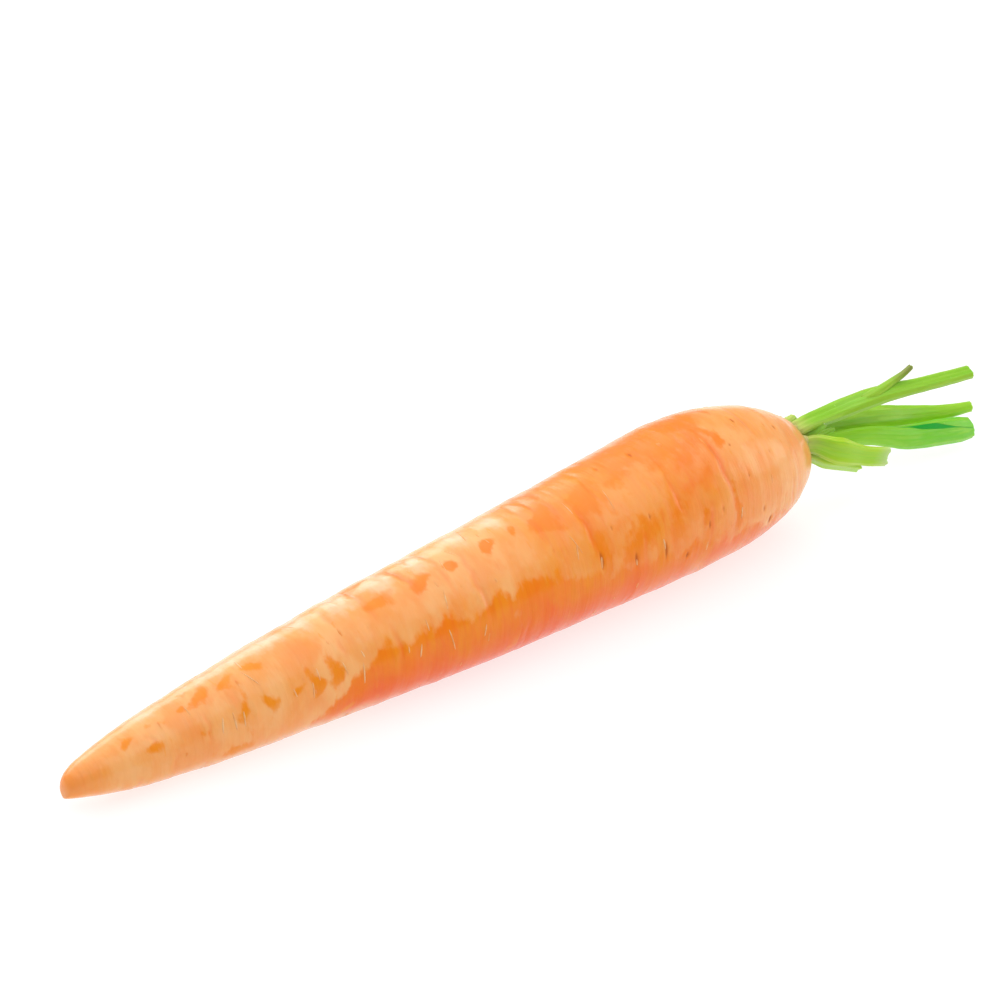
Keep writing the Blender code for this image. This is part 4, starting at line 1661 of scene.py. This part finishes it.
class CARROT_OT_stalks(bpy.types.Operator):
    """Make the leaf stalks, the side shoot and the young shoot"""

    bl_idname = "carrot.stalks"
    bl_label = "Leaf stalks"

    def execute(self, context):
        settings = context.scene.carrot_stalks
        materials = stalk_materials(settings)
        stalk_tree()
        for seed, (name, row) in enumerate(STALKS.items()):
            angle, width, thickness, channel, base_size, end, green, knots = row
            way = stalk_way(math.radians(angle), base_size, knots)
            mesh = swept(name, way, (width, thickness, channel, settings.ribs), end,
                         materials[green], settings, seed)
            add_piece(name + "_green", mesh, "leaf_stalk", name)
        sizes = [knot[3] for knot in SIDE_SHOOT]
        way = (knot_places(SIDE_SHOOT), sizes, [0.0] * len(SIDE_SHOOT))
        mesh = swept("side_shoot", way, SIDE_SHOOT_SECTION, SIDE_SHOOT_END,
                     materials["side_shoot_olive"], settings, SIDE_SHOOT_SEED,
                     SIDE_SHOOT_START)
        add_piece("side_shoot_green", mesh, "leaf_stalk", "forked_stalk")
        young_green = materials["young_shoot_green"]
        for seed, (angle, apart, width, lean, length) in enumerate(SHEATHS):
            way = sheath_way(math.radians(angle), apart, lean, length)
            mesh = swept("sheath_%d" % (seed + 1), way, (width, *SHEATH_SECTION), SHEATH_END,
                         young_green, settings, SHEATH_SEED + seed)
            add_piece("sheath_%d_green" % (seed + 1), mesh, "young_shoot")
        way = stalk_way(-math.pi / 2, 1.0, HEART, ring=0.0)
        mesh = swept("heart_shoot", way, HEART_SECTION, HEART_END, young_green, settings,
                     HEART_SEED)
        add_piece("heart_shoot_green", mesh, "young_shoot", "heart_shoot")
        return {"FINISHED"}


class CARROT_OT_crown(bpy.types.Operator):
    """Make the dry scales round the crown"""

    bl_idname = "carrot.crown"
    bl_label = "Crown scales"

    def execute(self, context):
        settings = context.scene.carrot_marks
        material = cork_material("dry_scale", settings.scale, settings.dark_scale, 6.0)
        mesh = grown("crown_scales", scales_tree(), {"Material": material})
        across = CROWN_UP.cross(CROWN_OUT)
        turn = Matrix((across, CROWN_UP, CROWN_OUT)).transposed().to_4x4()
        mesh.transform(Matrix.Translation(CROWN_MIDDLE) @ turn)
        add_piece("crown_scales", mesh, "leaf_stalk")
        return {"FINISHED"}


class CARROT_OT_stage(bpy.types.Operator):
    """Make the floor, the lights and the camera"""

    bl_idname = "carrot.stage"
    bl_label = "Stage"

    def execute(self, context):
        settings = context.scene.carrot_stage
        shape = bmesh.new()
        bmesh.ops.create_circle(shape, cap_ends=True, segments=96, radius=FLOOR_RADIUS)
        mesh = bpy.data.meshes.new("floor")
        shape.to_mesh(mesh)
        shape.free()
        mesh.transform(Matrix.Translation((0.0, 0.0, -FLOOR_DROP)))
        mesh.materials.append(floor_material(settings))
        linked("floor", mesh)
        for name, power, place, aim, size in LIGHTS:
            self.light(name, place, aim, size, getattr(settings, power))
        world = bpy.data.worlds.new("white_surround")
        world.use_nodes = True
        set_sockets(world.node_tree.nodes["Background"], {
            "Color": WHITE, "Strength": settings.sky,
        })
        context.scene.world = world
        context.scene.view_settings.view_transform = "Standard"
        camera = linked("camera", bpy.data.cameras.new("camera"))
        camera.data.lens = settings.lens
        camera.data.sensor_width = CAMERA_FILM
        axes = CAMERA_AXES.transposed().to_4x4()
        camera.matrix_world = Matrix.Translation(CAMERA_PLACE) @ axes
        context.scene.camera = camera
        return {"FINISHED"}

    def light(self, name, place, aim, size, power):
        """A rectangular soft light that points at aim."""
        data = bpy.data.lights.new(name, "AREA")
        data.shape = "RECTANGLE"
        data.size, data.size_y = size
        data.energy = power
        obj = linked(name, data)
        obj.location = place
        way = Vector(aim) - Vector(place)
        obj.rotation_euler = way.to_track_quat("-Z", "Y").to_euler()


OPERATORS = [
    CARROT_OT_skin, CARROT_OT_marks, CARROT_OT_stalks, CARROT_OT_crown, CARROT_OT_stage,
]
SETTINGS = {
    "carrot_skin": CarrotSkinSettings,
    "carrot_marks": CarrotMarksSettings,
    "carrot_stalks": CarrotStalksSettings,
    "carrot_stage": CarrotStageSettings,
}


class CARROT_PT_panel(bpy.types.Panel):
    """The carrot's operators and settings"""

    bl_idname = "CARROT_PT_panel"
    bl_label = "Carrot"
    bl_space_type = "VIEW_3D"
    bl_region_type = "UI"
    bl_category = "Carrot"

    def draw(self, context):
        for operator in OPERATORS:
            self.layout.operator(operator.bl_idname)
        for name, group in SETTINGS.items():
            box = self.layout.box()
            for key in group.__annotations__:
                box.prop(getattr(context.scene, name), key)


CLASSES = list(SETTINGS.values()) + OPERATORS + [CARROT_PT_panel]


def register():
    """Register the settings, the operators and the panel."""
    for item in CLASSES:
        bpy.utils.register_class(item)
    for name, group in SETTINGS.items():
        setattr(bpy.types.Scene, name, PointerProperty(type=group))


def unregister():
    """Take away what register added."""
    for name in SETTINGS:
        delattr(bpy.types.Scene, name)
    for item in reversed(CLASSES):
        bpy.utils.unregister_class(item)


def main():
    """Make the carrot and its stage."""
    register()
    bpy.ops.carrot.skin()
    bpy.ops.carrot.marks()
    bpy.ops.carrot.stalks()
    bpy.ops.carrot.crown()
    bpy.ops.carrot.stage()


if __name__ == "__main__":
    main()
